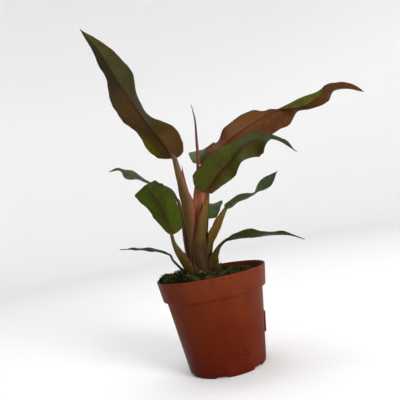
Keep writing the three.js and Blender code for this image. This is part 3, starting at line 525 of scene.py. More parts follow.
# The midrib at places q from 0 to 1 of its length: middle, way along, upper face's way, and side.
def ribFrame(leaf, q):
    rib = np.array(leaf["rib"], float) * mm
    even = np.linspace(0, 1, 201)
    steps = np.linalg.norm(np.diff(glide(rib, even), axis=0), axis=1)
    reach = np.concatenate([[0], np.cumsum(steps)])

    def middleAt(places):
        return glide(rib, np.interp(np.clip(places, 0, 1) * reach[-1], reach, even))

    near = bladeForm["tangentReach"]
    along = unit(middleAt(q + near) - middleAt(q - near))
    normal = across(glide(leaf["face"], q), along)
    return middleAt(q), along, normal, np.cross(along, normal), reach[-1]


# A blade's middle surface on a grid: q runs from 0 at the stalk to 1 at the tip, and x from -1 at the left
# margin to 1 at the right one. Each half is a strip bent about the midrib: the point lies at half width
# times |x| out from the rib, along the mean direction of its bend, which goes from the fold at the rib to
# fold plus curl at the margin, and it leans forward with the veins.
def bladeSurface(leaf, q, x):
    form = bladeForm
    middle, along, normal, side, length = ribFrame(leaf, q)
    right, s, pace = x >= 0, np.abs(x), q[:, None]
    phases = np.random.default_rng(leaf["seed"]).uniform(0, 2 * np.pi, 4)

    def eitherSide(key, default):
        return np.where(right, leaf.get(key + "Right", default), leaf.get(key + "Left", default))

    def eitherSideAlong(key, default):
        left, other = (glide(leaf.get(key + hand, default), pace) for hand in ("Left", "Right"))
        return np.where(right, other, left)

    opened = np.minimum(1, pace / eitherSide("base", form["base"]))
    lobe, share = eitherSide("lobe", 0), form["lobeShare"]
    opening = np.where(lobe > 0, share + (1 - share) * opened, np.sqrt(opened))
    shape = eitherSideAlong("outline", form["outline"]) * opening
    back = lobe * mm * np.sqrt(4 * s * (1 - s)) * np.maximum(0, 1 - pace / form["lobeFade"]) ** 2
    stirs = np.sin(form["stirWaves"] * pace + phases)
    stirs = stirs[:, :2] + form["fineStir"] * stirs[:, 2:]
    stir = np.where(right, stirs[:, :1], stirs[:, 1:])
    fullWidth = np.where(right, leaf["half"][1], leaf["half"][0]) * (1 + form["marginStir"] * stir)
    width = np.maximum(fullWidth * shape, form["leastHalfWidth"]) * mm
    lean = degree * glide(form["veinLean"], pace)
    fold = degree * eitherSideAlong("fold", form["fold"])
    curl = degree * eitherSideAlong("curl", [0, 0])
    early = leaf.get("curlEarly", 1)
    steps = (np.arange(form["curveSteps"]) + 0.5) / form["curveSteps"]
    angles = fold[..., None] + curl[..., None] * (steps * s[..., None]) ** early
    outwards, upwards = np.cos(angles).mean(-1), np.sin(angles).mean(-1)
    end = fold + curl * s ** early
    waveHeight, waves, startLeft, startRight = leaf["wave"]
    phase = 2 * np.pi * (waves * pace + np.where(right, startRight, startLeft))
    lift = waveHeight * mm * np.sin(np.pi * pace) ** form["waveFade"] * s ** 2 * np.sin(phase)
    quilt = ripple(length / mm * pace, form["quiltAcross"] * x, leaf["seed"], form["quiltLengths"])
    lift = lift + form["quilt"] * mm * s * quilt
    out = np.where(right, 1, -1) * (width * s * np.cos(lean) * outwards - lift * np.sin(end))
    up = width * s * np.cos(lean) * upwards + lift * np.cos(end)
    onward = width * s * np.sin(lean) - back
    return ringsRound(middle, out, side, up, normal) + onward[..., None] * along[:, None], width, length


# A blade is a closed skin round its middle surface: half its thickness to either side, thinning to a round
# margin, with a ridge under the midrib, a channel above it and the side veins sunk into the upper face.
def bladeShell(leaf):
    form = bladeForm
    length = ribFrame(leaf, np.array([0.0]))[4]
    rows = int(length / mm / form["rowStep"])
    even = np.linspace(0, 1, rows + 1)
    q = np.clip(even - form["rowCrowding"] * np.sin(2 * np.pi * even) / (2 * np.pi), 0, 1)
    u = np.linspace(-1, 1, 2 * form["halfColumns"] + 1)
    x = np.sign(u) * (0.5 * np.abs(u) + 0.25 * (1 - np.cos(np.pi * np.abs(u))))
    q, x = q[:, None], x[None, :]
    grid, width, length = bladeSurface(leaf, q[:, 0], x)
    s, fade = np.abs(x), 1 - q
    normal = unit(np.cross(np.gradient(grid, axis=1), np.gradient(grid, axis=0)))
    offRib = width * s
    ridgeWidth = form["ridgeWidth"] * mm * (form["ridgeAtTip"] + (1 - form["ridgeAtTip"]) * fade)
    ridge = form["ridge"] * mm * fade * np.exp(-(offRib / ridgeWidth) ** 2)
    channel = form["channel"] * mm * fade * np.exp(-(offRib / (form["channelWidth"] * mm)) ** 2)
    vein = (length * q - offRib * (form["veinSlant"] + form["veinCurve"] * s)) / mm
    nearVein = np.abs((vein / form["veinSpacing"]) % 1 - 0.5) * 2
    veined = rise(1, 0.75, s) * rise(0, 0.1, s) * rise(0, 0.04, q)
    sunk = form["veinRelief"] * mm * nearVein ** form["veinSharpness"] * veined
    half = 0.5 * mm * (form["thickness"] + (form["marginThickness"] - form["thickness"]) * s)
    half = half * np.sqrt(1 - s ** form["marginRoundness"])
    upper = grid + (half - channel - sunk)[..., None] * normal
    lower = grid - (half + ridge + sunk)[..., None] * normal
    rings = np.concatenate([upper, lower[:, -2:0:-1]], axis=1)

    def bothFaces(value, under=None):
        pair = np.broadcast_arrays(value, value if under is None else under, grid[..., 0])
        return np.concatenate([pair[0], pair[1][:, -2:0:-1]], axis=1)

    def blot(places):
        total = 0
        for along, sideways, reachAlong, reachAcross in places:
            total = total + np.exp(-((q - along) / reachAlong) ** 2 - ((x - sideways) / reachAcross) ** 2)
        return bothFaces(np.minimum(total, 1))

    ribWidth = leaf.get("ribWide", form["ribWide"]) * mm * (form["ribAtTip"] + (1 - form["ribAtTip"]) * fade)
    # A painted highlight: a pale line beside the midrib, where the lit flank of its ridge or channel would
    # be.
    offHighlight = (width * x * leaf.get("highlightSide", 1) / mm - form["highlightLineAt"] * fade) / (0.9 * fade + 0.1)
    return skin(
        rings,
        flat=True,
        along=bothFaces(q),
        across=bothFaces(x),
        under=bothFaces(0.0, 1.0),
        vein=bothFaces(vein),
        midrib=bothFaces(np.exp(-(offRib / ribWidth) ** 2)),
        besideRib=bothFaces(np.exp(-offHighlight ** 2)),
        patch=blot(leaf["patch"][1:]),
        warm=blot(leaf["warm"][1:]),
    )


# Leaf skin: a gradient along each half of each face, soft blots of other colours, faint side veins with
# finer ones between them, a tinted midrib with a painted highlight line beside it, a margin line and a dark
# tip.
def bladeMaterial(name, leaf):
    form = bladeForm
    material, tree, shader = newMaterial(name + "Skin", form["roughness"], leaf.get("gloss", form["gloss"]))
    along, under, vein, sideways = (mark(tree, key) for key in ("along", "under", "vein", "across"))
    out = reckon("ABSOLUTE", sideways)
    place = objectPlace(tree)
    cloud, mottle = speckle(place, form["cloudScale"], 2), speckle(place, form["mottleScale"], 3)
    onRight = spread(sideways, -0.12, 0.12)
    faces = []
    for key in ("upper", "under"):
        halves = (gradient(along, leaf.get(key + hand, leaf[key])) for hand in ("", "Right"))
        faces.append(blend(onRight, *halves))
    colour = blend(under, *faces)
    for key in ("warm", "patch"):
        stirred = reckon("MULTIPLY", mark(tree, key), spread(cloud, 0.3, 0.65, 0.65, 1.0))
        colour = blend(stirred, colour, paint(*leaf[key][0]))
    veinColour = paint(*leaf.get("veinColour", leaf["patch"][0]))
    colour = layered(
        colour,
        (cloud, (0.4, 0.75, 0.0, 0.3), form["blotchDark"]),
        (mottle, (0.35, 0.65, 0.28, 0.0), form["mottleDark"]),
        (speckle(place, form["spotScale"], 4), (0.5, 0.72, 0.0, 0.35), veinColour),
    )
    wander = reckon("ADD", vein, reckon("MULTIPLY_ADD", cloud, 9, mottle))
    mainVein = reckon("PINGPONG", wander, form["veinSpacing"] / 2)
    fineVein = reckon("PINGPONG", wander, form["veinSpacing"] / 2 / form["fineVeins"])
    mainLine = spread(mainVein, 0.0, 0.9, 1.0, 0.0)
    fineLine = spread(fineVein, 0.0, 0.5, 1.0, 0.0)
    inside = reckon("MULTIPLY", spread(out, 0.75, 1.0, 1.0, 0.0), form["veinShow"])
    fading = spread(along, 0.3, 0.85, 1.0, 0.12)
    ribColour = blend(under, *(paint(*c) for c in leaf["ribColours"]))
    lines = [
        (mainLine, inside, veinColour),
        (fineLine, 0.35 * form["veinShow"], veinColour),
        # painted highlight beside the midrib
        (mark(tree, "besideRib"), reckon("MULTIPLY", fading, 0.55), paint(*leaf["ribHighlight"])),
        (mark(tree, "midrib"), reckon("MULTIPLY", fading, 0.92), ribColour),
    ]
    for line, share, over in lines:
        colour = blend(reckon("MULTIPLY", line, share), colour, over)
    colour = layered(
        colour,
        (out, (0.975, 0.997, 0.0, 0.8), paint(*leaf["margin"])),
        (along, (0.975, 1.0, 0.0, 0.85), paint(*form["tip"])),
    )
    grain = reckon("MULTIPLY", speckle(place, form["grainScale"], 2), 0.35)
    relief = reckon("MULTIPLY_ADD", mainLine, -0.5, grain)
    relief = reckon("MULTIPLY_ADD", fineLine, -0.3, relief)
    dress(shader, colour, relief, 0.3, 0.12)
    tree.links.new(spread(mottle, 0.3, 0.7, 0.38, 0.5), shader.inputs["Roughness"])
    return material


stalkForm = {
    "ringStep": 1.3, "smoothings": 3,
    "outerPoints": 41, "innerPoints": 25, "roundPoints": 4,
    "sheathEdge": 0.7, "edgeTint": 1.1,
    "tail": 0.09, "tailRings": 22, "tailHalf": 1.0, "tailDepth": 0.8,  # what runs on under the blade
    "streaks": 26, "streakRelief": 0.07,
    "edgeStir": 0.35, "stirLengths": [4.3, 5.1], "sheathFrom": 3.5, "sheathFull": 6,  # half widths
    "roughness": 0.4, "gloss": 0.08, "lengthwise": 0.16, "broadScale": 9, "streakScale": 42,
    "cloudDark": (0.02, 0.012, 0.005, 1), "streakDark": (0.025, 0.018, 0.006, 1),
    "tongueRings": 26, "tonguePoints": 18, "tongueThickness": 0.5, "tongueCup": 0.3, "tongueTaper": 0.85,
}


# A stalk is a crescent section carried along its path and on under the blade, where it shrinks into the
# midrib. The section's outer line is half an ellipse, its inner one a shallower half ellipse set back by
# the sheath's edge, and a half circle rounds each margin. Shallow streaks run along the back.
def stalkShell(leaf):
    stalk, form = leaf["stalk"], stalkForm
    rows = np.array(stalk["rows"], float)
    path = rows[:, :3] * mm
    length = np.linalg.norm(np.diff(path, axis=0), axis=1).sum()
    t = np.linspace(0, 1, int(length / mm / form["ringStep"]))
    tail = np.linspace(0, 1, form["tailRings"] + 1)[1:]
    ribMiddle, _, ribNormal, _, _ = ribFrame(leaf, tail * form["tail"])
    middle = np.concatenate([glide(path, t), ribMiddle])
    for _ in range(form["smoothings"]):
        middle[1:-1] = (middle[:-2] + 2 * middle[1:-1] + middle[2:]) / 4
    turn = rise(0, 0.4, tail)[:, None]
    back = np.array(stalk["back"], float)
    backs = np.concatenate([glide(back, t), (1 - turn) * unit(back[-1]) - turn * ribNormal])
    gone = np.concatenate([np.zeros(len(t)), tail])
    places = np.concatenate([t, np.ones(len(tail))])
    along = unit(np.gradient(middle, axis=0))
    backwards = across(backs, along)
    side = np.cross(backwards, along)
    quick = np.sqrt(gone)
    gone, places, quick = gone[:, None], places[:, None], quick[:, None]
    half, depth, hollow = np.split(glide(rows[:, 3:], places[:, 0]), 3, axis=1)
    half = half * (1 - gone) ** 0.7 + form["tailHalf"] * gone
    depth = depth * (1 - gone) + form["tailDepth"] * gone
    hollow = hollow * (1 - quick)
    edge = form["sheathEdge"] * (1 - 0.8 * quick)
    sheathed = rise(form["sheathFrom"], form["sheathFull"], half)
    phases = np.random.default_rng(leaf["seed"] + 100).uniform(0, 2 * np.pi, 2)
    stirs = np.sin(places * length / mm / form["stirLengths"] + phases) * form["edgeStir"] * sheathed

    def reach(angle):
        return half + np.where(angle < np.pi / 2, stirs[:, 1:], stirs[:, :1]) * np.cos(angle) ** 4

    outer = np.linspace(0, np.pi, form["outerPoints"])[None, :]
    inner = np.linspace(np.pi, 0, form["innerPoints"])[None, :]
    streak = form["streakRelief"] * np.cos(form["streaks"] * outer) * np.sin(outer) ** 0.5
    outerX, outerY = reach(outer) * np.cos(outer), (depth + streak * (1 - gone)) * np.sin(outer)
    innerX, innerY = (reach(inner) - edge) * np.cos(inner), hollow * np.sin(inner) - edge

    def roundMargin(startX, startY, endX, endY, outward):
        beta = np.linspace(0, np.pi, form["roundPoints"] + 2)[None, 1:-1]
        midX, midY = (startX + endX) / 2, (startY + endY) / 2
        halfX, halfY = (startX - endX) / 2, (startY - endY) / 2
        reachX, reachY = outward * np.abs(halfY), -np.abs(halfX)
        x = midX + halfX * np.cos(beta) + reachX * np.sin(beta)
        return x, midY + halfY * np.cos(beta) + reachY * np.sin(beta)

    farX, farY = roundMargin(outerX[:, -1:], outerY[:, -1:], innerX[:, :1], innerY[:, :1], -1)
    nearX, nearY = roundMargin(innerX[:, -1:], innerY[:, -1:], outerX[:, :1], outerY[:, :1], 1)
    x = np.concatenate([outerX, farX, innerX, nearX], axis=1) * mm
    y = np.concatenate([outerY, farY, innerY, nearY], axis=1) * mm
    offEdge = np.hypot(half - np.abs(x) / mm, y / mm + form["sheathEdge"] / 2)
    isInner = np.zeros(x.shape)
    isInner[:, form["outerPoints"] + form["roundPoints"]:-form["roundPoints"]] = 1
    return skin(
        ringsRound(middle, x, side, y, backwards),
        along=places,
        inner=isInner,
        margin=np.exp(-(offEdge / form["edgeTint"]) ** 2) * sheathed,
        tail=rise(0, 0.5, gone),
        around=np.abs(np.arctan2(y, x)) / np.pi,
    )


# A sheath's free tip: a thin strip along a path, cupped across and narrowing to a point, with an edge that
# is as ragged as its tear says.
def tongueShell(tongue, back, tear=0.0, seed=0):
    tongue, form = np.array(tongue, float), stalkForm
    t = np.linspace(0, 1, form["tongueRings"])
    middle, along = follow(tongue[:, :3], t)
    backwards = across(np.array(back, float), along)
    side = np.cross(backwards, along)
    half, t = (glide(tongue[:, 3], t) * (1 - form["tongueTaper"] * t ** 3))[:, None], t[:, None]
    beta = circle(form["tonguePoints"])
    x = half * np.cos(beta) * (1 + tear * np.sin(t * 31 + beta * 2 + seed))
    thin = form["tongueThickness"] / 2 * (1 - 0.6 * t)
    y = thin * np.sin(beta) - form["tongueCup"] * x ** 2 / np.maximum(half, 0.3)
    return skin(
        ringsRound(middle, x * mm, side, y * mm, backwards),
        along=0.5 + 0.5 * t,
        inner=0.0,
        margin=0.25 + 0.75 * np.abs(np.cos(beta)) ** 3,
        around=0.5 + 0.25 * np.cos(beta),
        tail=0.0,
    )


# Stalk skin: a gradient from foot to top along the middle of the back and another along its flanks, a
# colour of its own inside the sheath, tinted margins, and streaks that run lengthwise.
def stalkMaterial(name, leaf):
    stalk, form = leaf["stalk"], stalkForm
    material, tree, shader = newMaterial(name + "StalkSkin", form["roughness"], form["gloss"])
    along, around = mark(tree, "along"), mark(tree, "around")
    slow = reckon("MULTIPLY", along, form["lengthwise"])
    sockets = {"X": around, "Y": slow, "Z": float(leaf["seed"])}
    winding = addNode("ShaderNodeCombineXYZ", sockets).outputs[0]
    broad = speckle(winding, form["broadScale"], 2)
    streak = speckle(winding, form["streakScale"], 3)
    cloud = speckle(objectPlace(tree), 90, 3)
    offMiddle = reckon("ABSOLUTE", reckon("SUBTRACT", around, 0.5))
    strayed = reckon("MULTIPLY_ADD", reckon("SUBTRACT", broad, 0.5), 0.5, offMiddle)
    middle = gradient(along, stalk["colours"])
    flank = gradient(along, stalk.get("flank", stalk["colours"]))
    colour = layered(middle, (strayed, (0.12, 0.34), flank))
    hollow = reckon("MULTIPLY", mark(tree, "inner"), 0.85)
    colour = layered(
        blend(hollow, colour, paint(*stalk["inside"])),
        (cloud, (0.4, 0.75, 0.0, 0.2), form["cloudDark"]),
        (streak, (0.3, 0.5, 0.4, 0.0), form["streakDark"]),
        (streak, (0.55, 0.72, 0.0, 0.4), paint(*stalk["light"])),
    )
    colour = blend(mark(tree, "margin"), colour, paint(*stalk["edge"]))
    ribSeen = leaf["ribColours"][leaf["face"][0][1] > 0.5]  # the underside's where that faces the front
    colour = blend(reckon("MULTIPLY", mark(tree, "tail"), 0.85), colour, paint(*ribSeen))
    dress(shader, colour, streak, 0.3, 0.15)
    return material


for name, leaf in leaves.items():
    title = name[0].upper() + name[1:]
    node = "".join("_" + letter.lower() if letter.isupper() else letter for letter in title)
    stalkShells = [stalkShell(leaf)]
    if "tongue" in leaf["stalk"]:
        stalkShells.append(tongueShell(leaf["stalk"]["tongue"], leaf["stalk"]["back"][0]))
    makePiece("stalk" + title, stalkShells, stalkMaterial(name, leaf), ["stalk" + node])
    makePiece("blade" + title, [bladeShell(leaf)], bladeMaterial(name, leaf), ["blade" + node])
print("leaves made:", len(leaves))

rolledLeaf = {
    "path": [[-10, 6, 126], [-7, 6.5, 160], [-2, 7, 192], [3, 8.5, 220], [7, 9, 244], [11, 9, 265],
             [14, 9, 290], [17, 9, 318], [16, 9, 339]],
    "radius": [2.6, 2.6, 2.6, 2.5, 2.3, 2.1, 1.7, 1.1, 0.35],
    "rings": 200, "points": 56,
    "overlap": 0.17, "turns": 1.3, "seamStart": 4.0,
    "colours": [(110, 52, 44), (140, 64, 62), (150, 66, 66), (112, 48, 50), (60, 32, 34)],
    "seamColour": (176, 104, 98), "seamWidth": 0.09, "streakDark": (0.08, 0.02, 0.02, 1),
    "roughness": 0.36, "gloss": 0.15, "streakScale": 900, "streakStretch": (1, 1, 0.08),
}


# The rolled leaf: a circle whose radius grows once round and steps back at the seam, where the outer
# margin lies over the inner one. The seam winds slowly up the leaf.
def rolledLeafShell():
    form = rolledLeaf
    t = np.linspace(0, 1, form["rings"])
    middle, along = follow(form["path"], t)
    backwards = across(np.array([0.0, -1.0, 0.0]), along)
    share = np.linspace(0, 1, form["points"])[None, :]
    seam = form["seamStart"] + 2 * np.pi * form["turns"] * t[:, None]
    angle = seam + 2 * np.pi * np.minimum(share, 1 - 1e-3)
    lobe = 1 - form["overlap"] / 2 + form["overlap"] * share
    radius = glide(form["radius"], t)[:, None] * lobe * mm
    x, y = radius * np.cos(angle), radius * np.sin(angle)
    rings = ringsRound(middle, x, np.cross(backwards, along), y, backwards)
    return skin(rings, along=t[:, None], seam=np.exp(-((1 - share) / form["seamWidth"]) ** 2))


# Pink-maroon along its length, with fine dark streaks and a pale seam.
def rolledLeafMaterial():
    form = rolledLeaf
    material, tree, shader = newMaterial("rolledLeafSkin", form["roughness"], form["gloss"])
    streak = speckle(objectPlace(tree, form["streakStretch"]), form["streakScale"], 4)
    colour = gradient(mark(tree, "along"), form["colours"])
    colour = layered(colour, (streak, (0.4, 0.7, 0.0, 0.35), form["streakDark"]))
    seam = reckon("MULTIPLY", mark(tree, "seam"), 0.75)
    colour = blend(seam, colour, paint(*form["seamColour"]))
    dress(shader, colour, streak, 0.25, 0.12)
    return material


makePiece("rolledLeaf", [rolledLeafShell()], rolledLeafMaterial(), ["rolled_leaf"])
print("rolled leaf made")

crown = {
    "place": (-12, 0),
    "outline": [(7, 92), (9, 95), (10, 104), (12, 112), (12.5, 118), (10, 123), (5, 126), (0.4, 127)],
    "rings": 90, "points": 96,
    "scars": [108, 111.5, 115, 118.5, 121.5], "scarDepth": 0.55, "scarWidth": 0.45,
    "scraps": [  # an old stub and torn bits of sheaths: rows as a tongue's, the back's way, tear and seed
        ([(-4, -1, 112, 3), (6, -1, 120, 3), (12, 0, 129, 2.5), (14.5, 0, 137, 0.8)],
         [0.5, 0, -0.85], 0.14, 3),
        ([(8, -5, 118, 3.6), (10.5, -5, 129, 2.6), (13, -5, 137, 0.6)], [0.4, -0.9, 0], 0.3, 0),
        ([(9, -2, 118, 3), (13.5, -2, 125, 2.4), (15.5, -2, 130, 0.6)], [0.4, -0.9, 0], 0.3, 2.3),
        ([(4, -10, 118, 2.8), (7, -11, 124, 2.2), (8, -12.5, 130, 0.5)], [0.3, -0.95, 0], 0.3, 4.6),
        ([(-23, -12, 122, 3.6), (-26, -13, 134, 2.8), (-27.5, -12.5, 145, 0.6)], [-0.4, -0.9, 0], 0.3, 6.9),
        ([(-16, -14.5, 118, 3.4), (-18, -14.5, 129, 2.6), (-19, -14, 139, 0.5)], [-0.1, -1, 0], 0.3, 9.2),
    ],
    "roots": [
        [(-12, -11, 121), (-12.5, -16, 124), (-13.4, -19, 123), (-14, -20.5, 117)],
        [(-20, -8, 118), (-26, -13, 120), (-31, -15, 117), (-33, -16, 112)],
        [(-3, -8, 118), (3, -13, 119), (8, -15, 116), (10, -16, 111)],
        [(-8, 10, 118), (-5, 17, 119), (-4, 22, 115), (-3, 24, 110)],
        [(-22, 6, 117), (-29, 10, 118), (-34, 12, 114), (-35, 13, 109)],
    ],
    "rootRadius": [1.5, 1.35, 1.1, 0.5], "rootPale": (150, 132, 104), "gritDark": (0.02, 0.012, 0.006, 1),
    "colours": [(34, 26, 12), (48, 38, 18), (62, 52, 22), (74, 64, 28), (82, 70, 36)],
}


# A round tube along a path, with a radius at each of its points.
def tubeShell(path, radius, rings, points, **marks):
    t = np.linspace(0, 1, rings)
    middle, along = follow(path, t)
    up = across(np.where(np.abs(along[:, 2:]) > 0.9, [1.0, 0.0, 0.0], [0.0, 0.0, 1.0]), along)
    size, angle = glide(radius, t)[:, None] * mm, circle(points)
    x, y = size * np.cos(angle), size * np.sin(angle)
    return skin(ringsRound(middle, x, up, y, np.cross(along, up)), **marks)


# The short stem: a turned profile with a groove at each old leaf's scar, lumpy round it.
def crownShell():
    form = crown
    t = np.linspace(0, 1, form["rings"])[:, None]
    outline = glide(np.array(form["outline"], float), t[:, 0])
    angle = circle(form["points"])
    radius, height = outline[:, :1], outline[:, 1:]
    for k, scar in enumerate(form["scars"]):
        level = scar + 0.8 * np.sin(angle + 1.7 * k)
        radius = radius - form["scarDepth"] * np.exp(-((height - level) / form["scarWidth"]) ** 2)
    radius = np.maximum(radius * (1 + 0.03 * np.sin(5 * angle + 1) * np.sin(9 * t)), 0.2)
    rings = polarPoints(radius, angle, height) + np.array([*form["place"], 0])
    return skin(rings * mm, along=t, margin=0.0)


# Cloudy brown bark with dark grit; the margin mark makes roots and scraps paler.
def crownMaterial():
    material, tree, shader = newMaterial("stemBark", 0.68, 0.1)
    place = objectPlace(tree)
    cloud, grit = speckle(place, 130, 4), speckle(place, 900, 3)
    colour = gradient(spread(cloud, 0.25, 0.75), crown["colours"])
    colour = layered(colour, (grit, (0.5, 0.75, 0.0, 0.4), crown["gritDark"]))
    colour = blend(mark(tree, "margin"), colour, paint(*crown["rootPale"]))
    dress(shader, colour, grit, 0.5, 0.3)
    return material


scrapShells = [tongueShell(*scrap) for scrap in crown["scraps"]]
for shell in scrapShells:
    shell["marks"] = {"along": shell["marks"]["along"], "margin": 0.05 * shell["marks"]["margin"]}
for path in crown["roots"]:
    scrapShells.append(tubeShell(path, crown["rootRadius"], 30, 14, along=0.5, margin=0.55))
makePiece("crown", [crownShell(), *scrapShells], crownMaterial(), ["crown"])
print("crown made")

pot = {
    "height": 120, "rimRadius": 70,
    "collarHeight": 26, "collarFootRadius": 66,
    "wallTopRadius": 62, "wallFootRadius": 49, "wall": 1.8,
    "floorUnderside": 3, "floorTop": 5,
    "footRing": (47.6, 43.6), "padRadius": 14,
    "slots": 6, "slotHeight": 2.6, "firstSlot": -102, "slotHalfAngle": 9.3, "slotSlope": 0.5,
    "slotRadii": (42.0, 56.0),
    "label": {"width": 34, "height": 25, "proud": 1.8, "middle": 46, "turn": 8, "sunk": 0.9,
              "squareness": 0.16},
    "sides": 288, "arcPoints": 5, "longestStep": 5.0,
    "outOfRound": 0.18,
    # The colours darken towards the foot: painted shade.
    "colours": [(102, 40, 16), (112, 47, 26), (120, 54, 33), (128, 62, 40)],  # foot to rim
    # The right side's colour and reach: a paler painted sheen on the pot's right side, where the light
    # falls.
    "dark": (84, 30, 14), "worn": (146, 74, 50), "rightSheen": (132, 72, 56), "gloss": 0.04,
    "sheenFrom": 0.012, "sheenTo": 0.058,  # metres to the right of the axis
    "dirtPlaces": [((0.018, -0.049, 0.021), 0.9), ((0.030, -0.052, 0.105), 0.3)],  # metres, and its share
    "dirtReach": (0.005, 0.015), "dirtElsewhere": 0.014, "dirtDark": (0.008, 0.005, 0.003, 1),
    "flowScale": 55, "bloomScale": 16, "grainScale": 2400, "speckScale": 340.0, "palerThan": 0.997,
    "palePeat": (0.4, 0.28, 0.16, 1),
}


# The inner radius of the pot at a height, in the collar or below it.
def innerWallRadius(z):
    collarFoot = pot["height"] - pot["collarHeight"]
    collarSpread = pot["rimRadius"] - pot["collarFootRadius"]
    wallSpread = pot["wallTopRadius"] - pot["wallFootRadius"]
    inCollar = pot["collarFootRadius"] + collarSpread * (z - collarFoot) / pot["collarHeight"]
    inWall = pot["wallFootRadius"] + wallSpread * z / collarFoot
    return np.where(z > collarFoot + pot["wall"], inCollar, inWall) - pot["wall"]


# A profile with rounded corners: each corner is a parabola between points set back from it, and the
# straight stretches are cut into even steps.
def roundedProfile(corners):
    corners = np.array(corners, float)
    points, backOff = corners[:, :2], corners[:, 2]
    path = [points[:1]]
    for k in range(1, len(points) - 1):
        here = points[k]
        before, after = (here + unit(points[k + side] - here) * backOff[k] for side in (-1, 1))
        t = np.linspace(0, 1, pot["arcPoints"])[:, None]
        path.append((1 - t) ** 2 * before + 2 * t * (1 - t) * here + t ** 2 * after)
    path.append(points[-1:])
    path = np.concatenate(path)
    gaps = np.linalg.norm(np.diff(path, axis=0), axis=1)
    steps = []
    for k, gap in enumerate(gaps):
        if gap > 1e-6:
            cuts = int(np.ceil(gap / pot["longestStep"]))
            steps.append(np.linspace(path[k], path[k + 1], cuts, endpoint=False))
    return np.concatenate([*steps, path[-1:]])


# The pot's body: a profile turned round the axis. Where a drain slot is, whatever lies lower than the
# slot's height is lifted to it.
def potShell():
    form, inner = pot, innerWallRadius
    top, pad, under, floor = (form[key] for key in ("height", "padRadius", "floorUnderside", "floorTop"))
    collarFoot = top - form["collarHeight"]
    ledge = collarFoot + form["wall"]
    ringOuter, ringInner = form["footRing"]
    profile = roundedProfile([  # radius, height, and how far the corner's rounding is set back
        (0.3, 0, 0), (pad, 0, 0.5), (pad + 2, under, 0.6), (ringInner - 0.6, under, 0.5),
        (ringInner, 0, 0.4), (ringOuter, 0, 0.5), (form["wallFootRadius"], 1.6, 0.8),
        (form["wallTopRadius"], collarFoot, 0.7), (form["collarFootRadius"], collarFoot, 0.9),
        (form["rimRadius"] - 0.25, top - 2.4, 0.6), (form["rimRadius"], top, 0.8), (inner(top), top, 0.7),
        (inner(ledge + 0.1), ledge, 1.0), (inner(ledge - 0.1), ledge, 0.8), (inner(floor), floor, 1.5),
        (0.3, floor, 0),
    ])
    slotTurns = form["firstSlot"] + 360 / form["slots"] * np.arange(form["slots"])
    edges = np.outer([-1, 1], [form["slotHalfAngle"], form["slotHalfAngle"] + form["slotSlope"]])
    slotEdges = (slotTurns[:, None, None] + edges).ravel() % 360
    angles = np.concatenate([np.arange(form["sides"]) * 360 / form["sides"], slotEdges])
    angles = np.unique(np.round(angles, 3))
    away = np.abs((angles[:, None] - slotTurns + 180) % 360 - 180).min(1)
    inSlot = rise(form["slotSlope"], 0, away - form["slotHalfAngle"])[None, :]
    radius, height = profile[:, :1], profile[:, 1:]
    bySlot = (radius > form["slotRadii"][0]) & (radius < form["slotRadii"][1])
    height = np.where(bySlot, np.maximum(height, form["slotHeight"] * inSlot), height)
    turn = angles[None, :] * degree
    radius = radius + form["outOfRound"] * np.cos(2 * turn + 0.6) * rise(10, 120, height)
    return skin(polarPoints(radius, turn, height) * mm)


# The raised label panel: nested rounded rectangles, from the middle of its face out over the edge, down to
# below the wall and back to the middle, bent round the pot.
def labelPanelShell():
    label, angle = pot["label"], circle(120)
    face, edge, back = np.linspace(0.02, 0.955, 9), [0.975, 0.99, 1.0, 1.0, 1.0], np.linspace(0.98, 0.02, 9)
    scale = np.concatenate([face, edge, back])[:, None]
    height = np.concatenate([np.ones(9), [0.97, 0.88, 0.72, 0.3, -0.5], np.full(9, -0.5)]) * label["proud"]

    def squared(value):
        return np.sign(value) * np.abs(value) ** label["squareness"] * scale / 2

    u, v = squared(np.cos(angle)) * label["width"], squared(np.sin(angle)) * label["height"]
    z = label["middle"] + v
    turn = label["turn"] * degree + u / innerWallRadius(label["middle"])
    radius = innerWallRadius(z) + pot["wall"] + np.maximum(height[:, None], -label["sunk"])
    return skin(polarPoints(radius, turn, z) * mm)
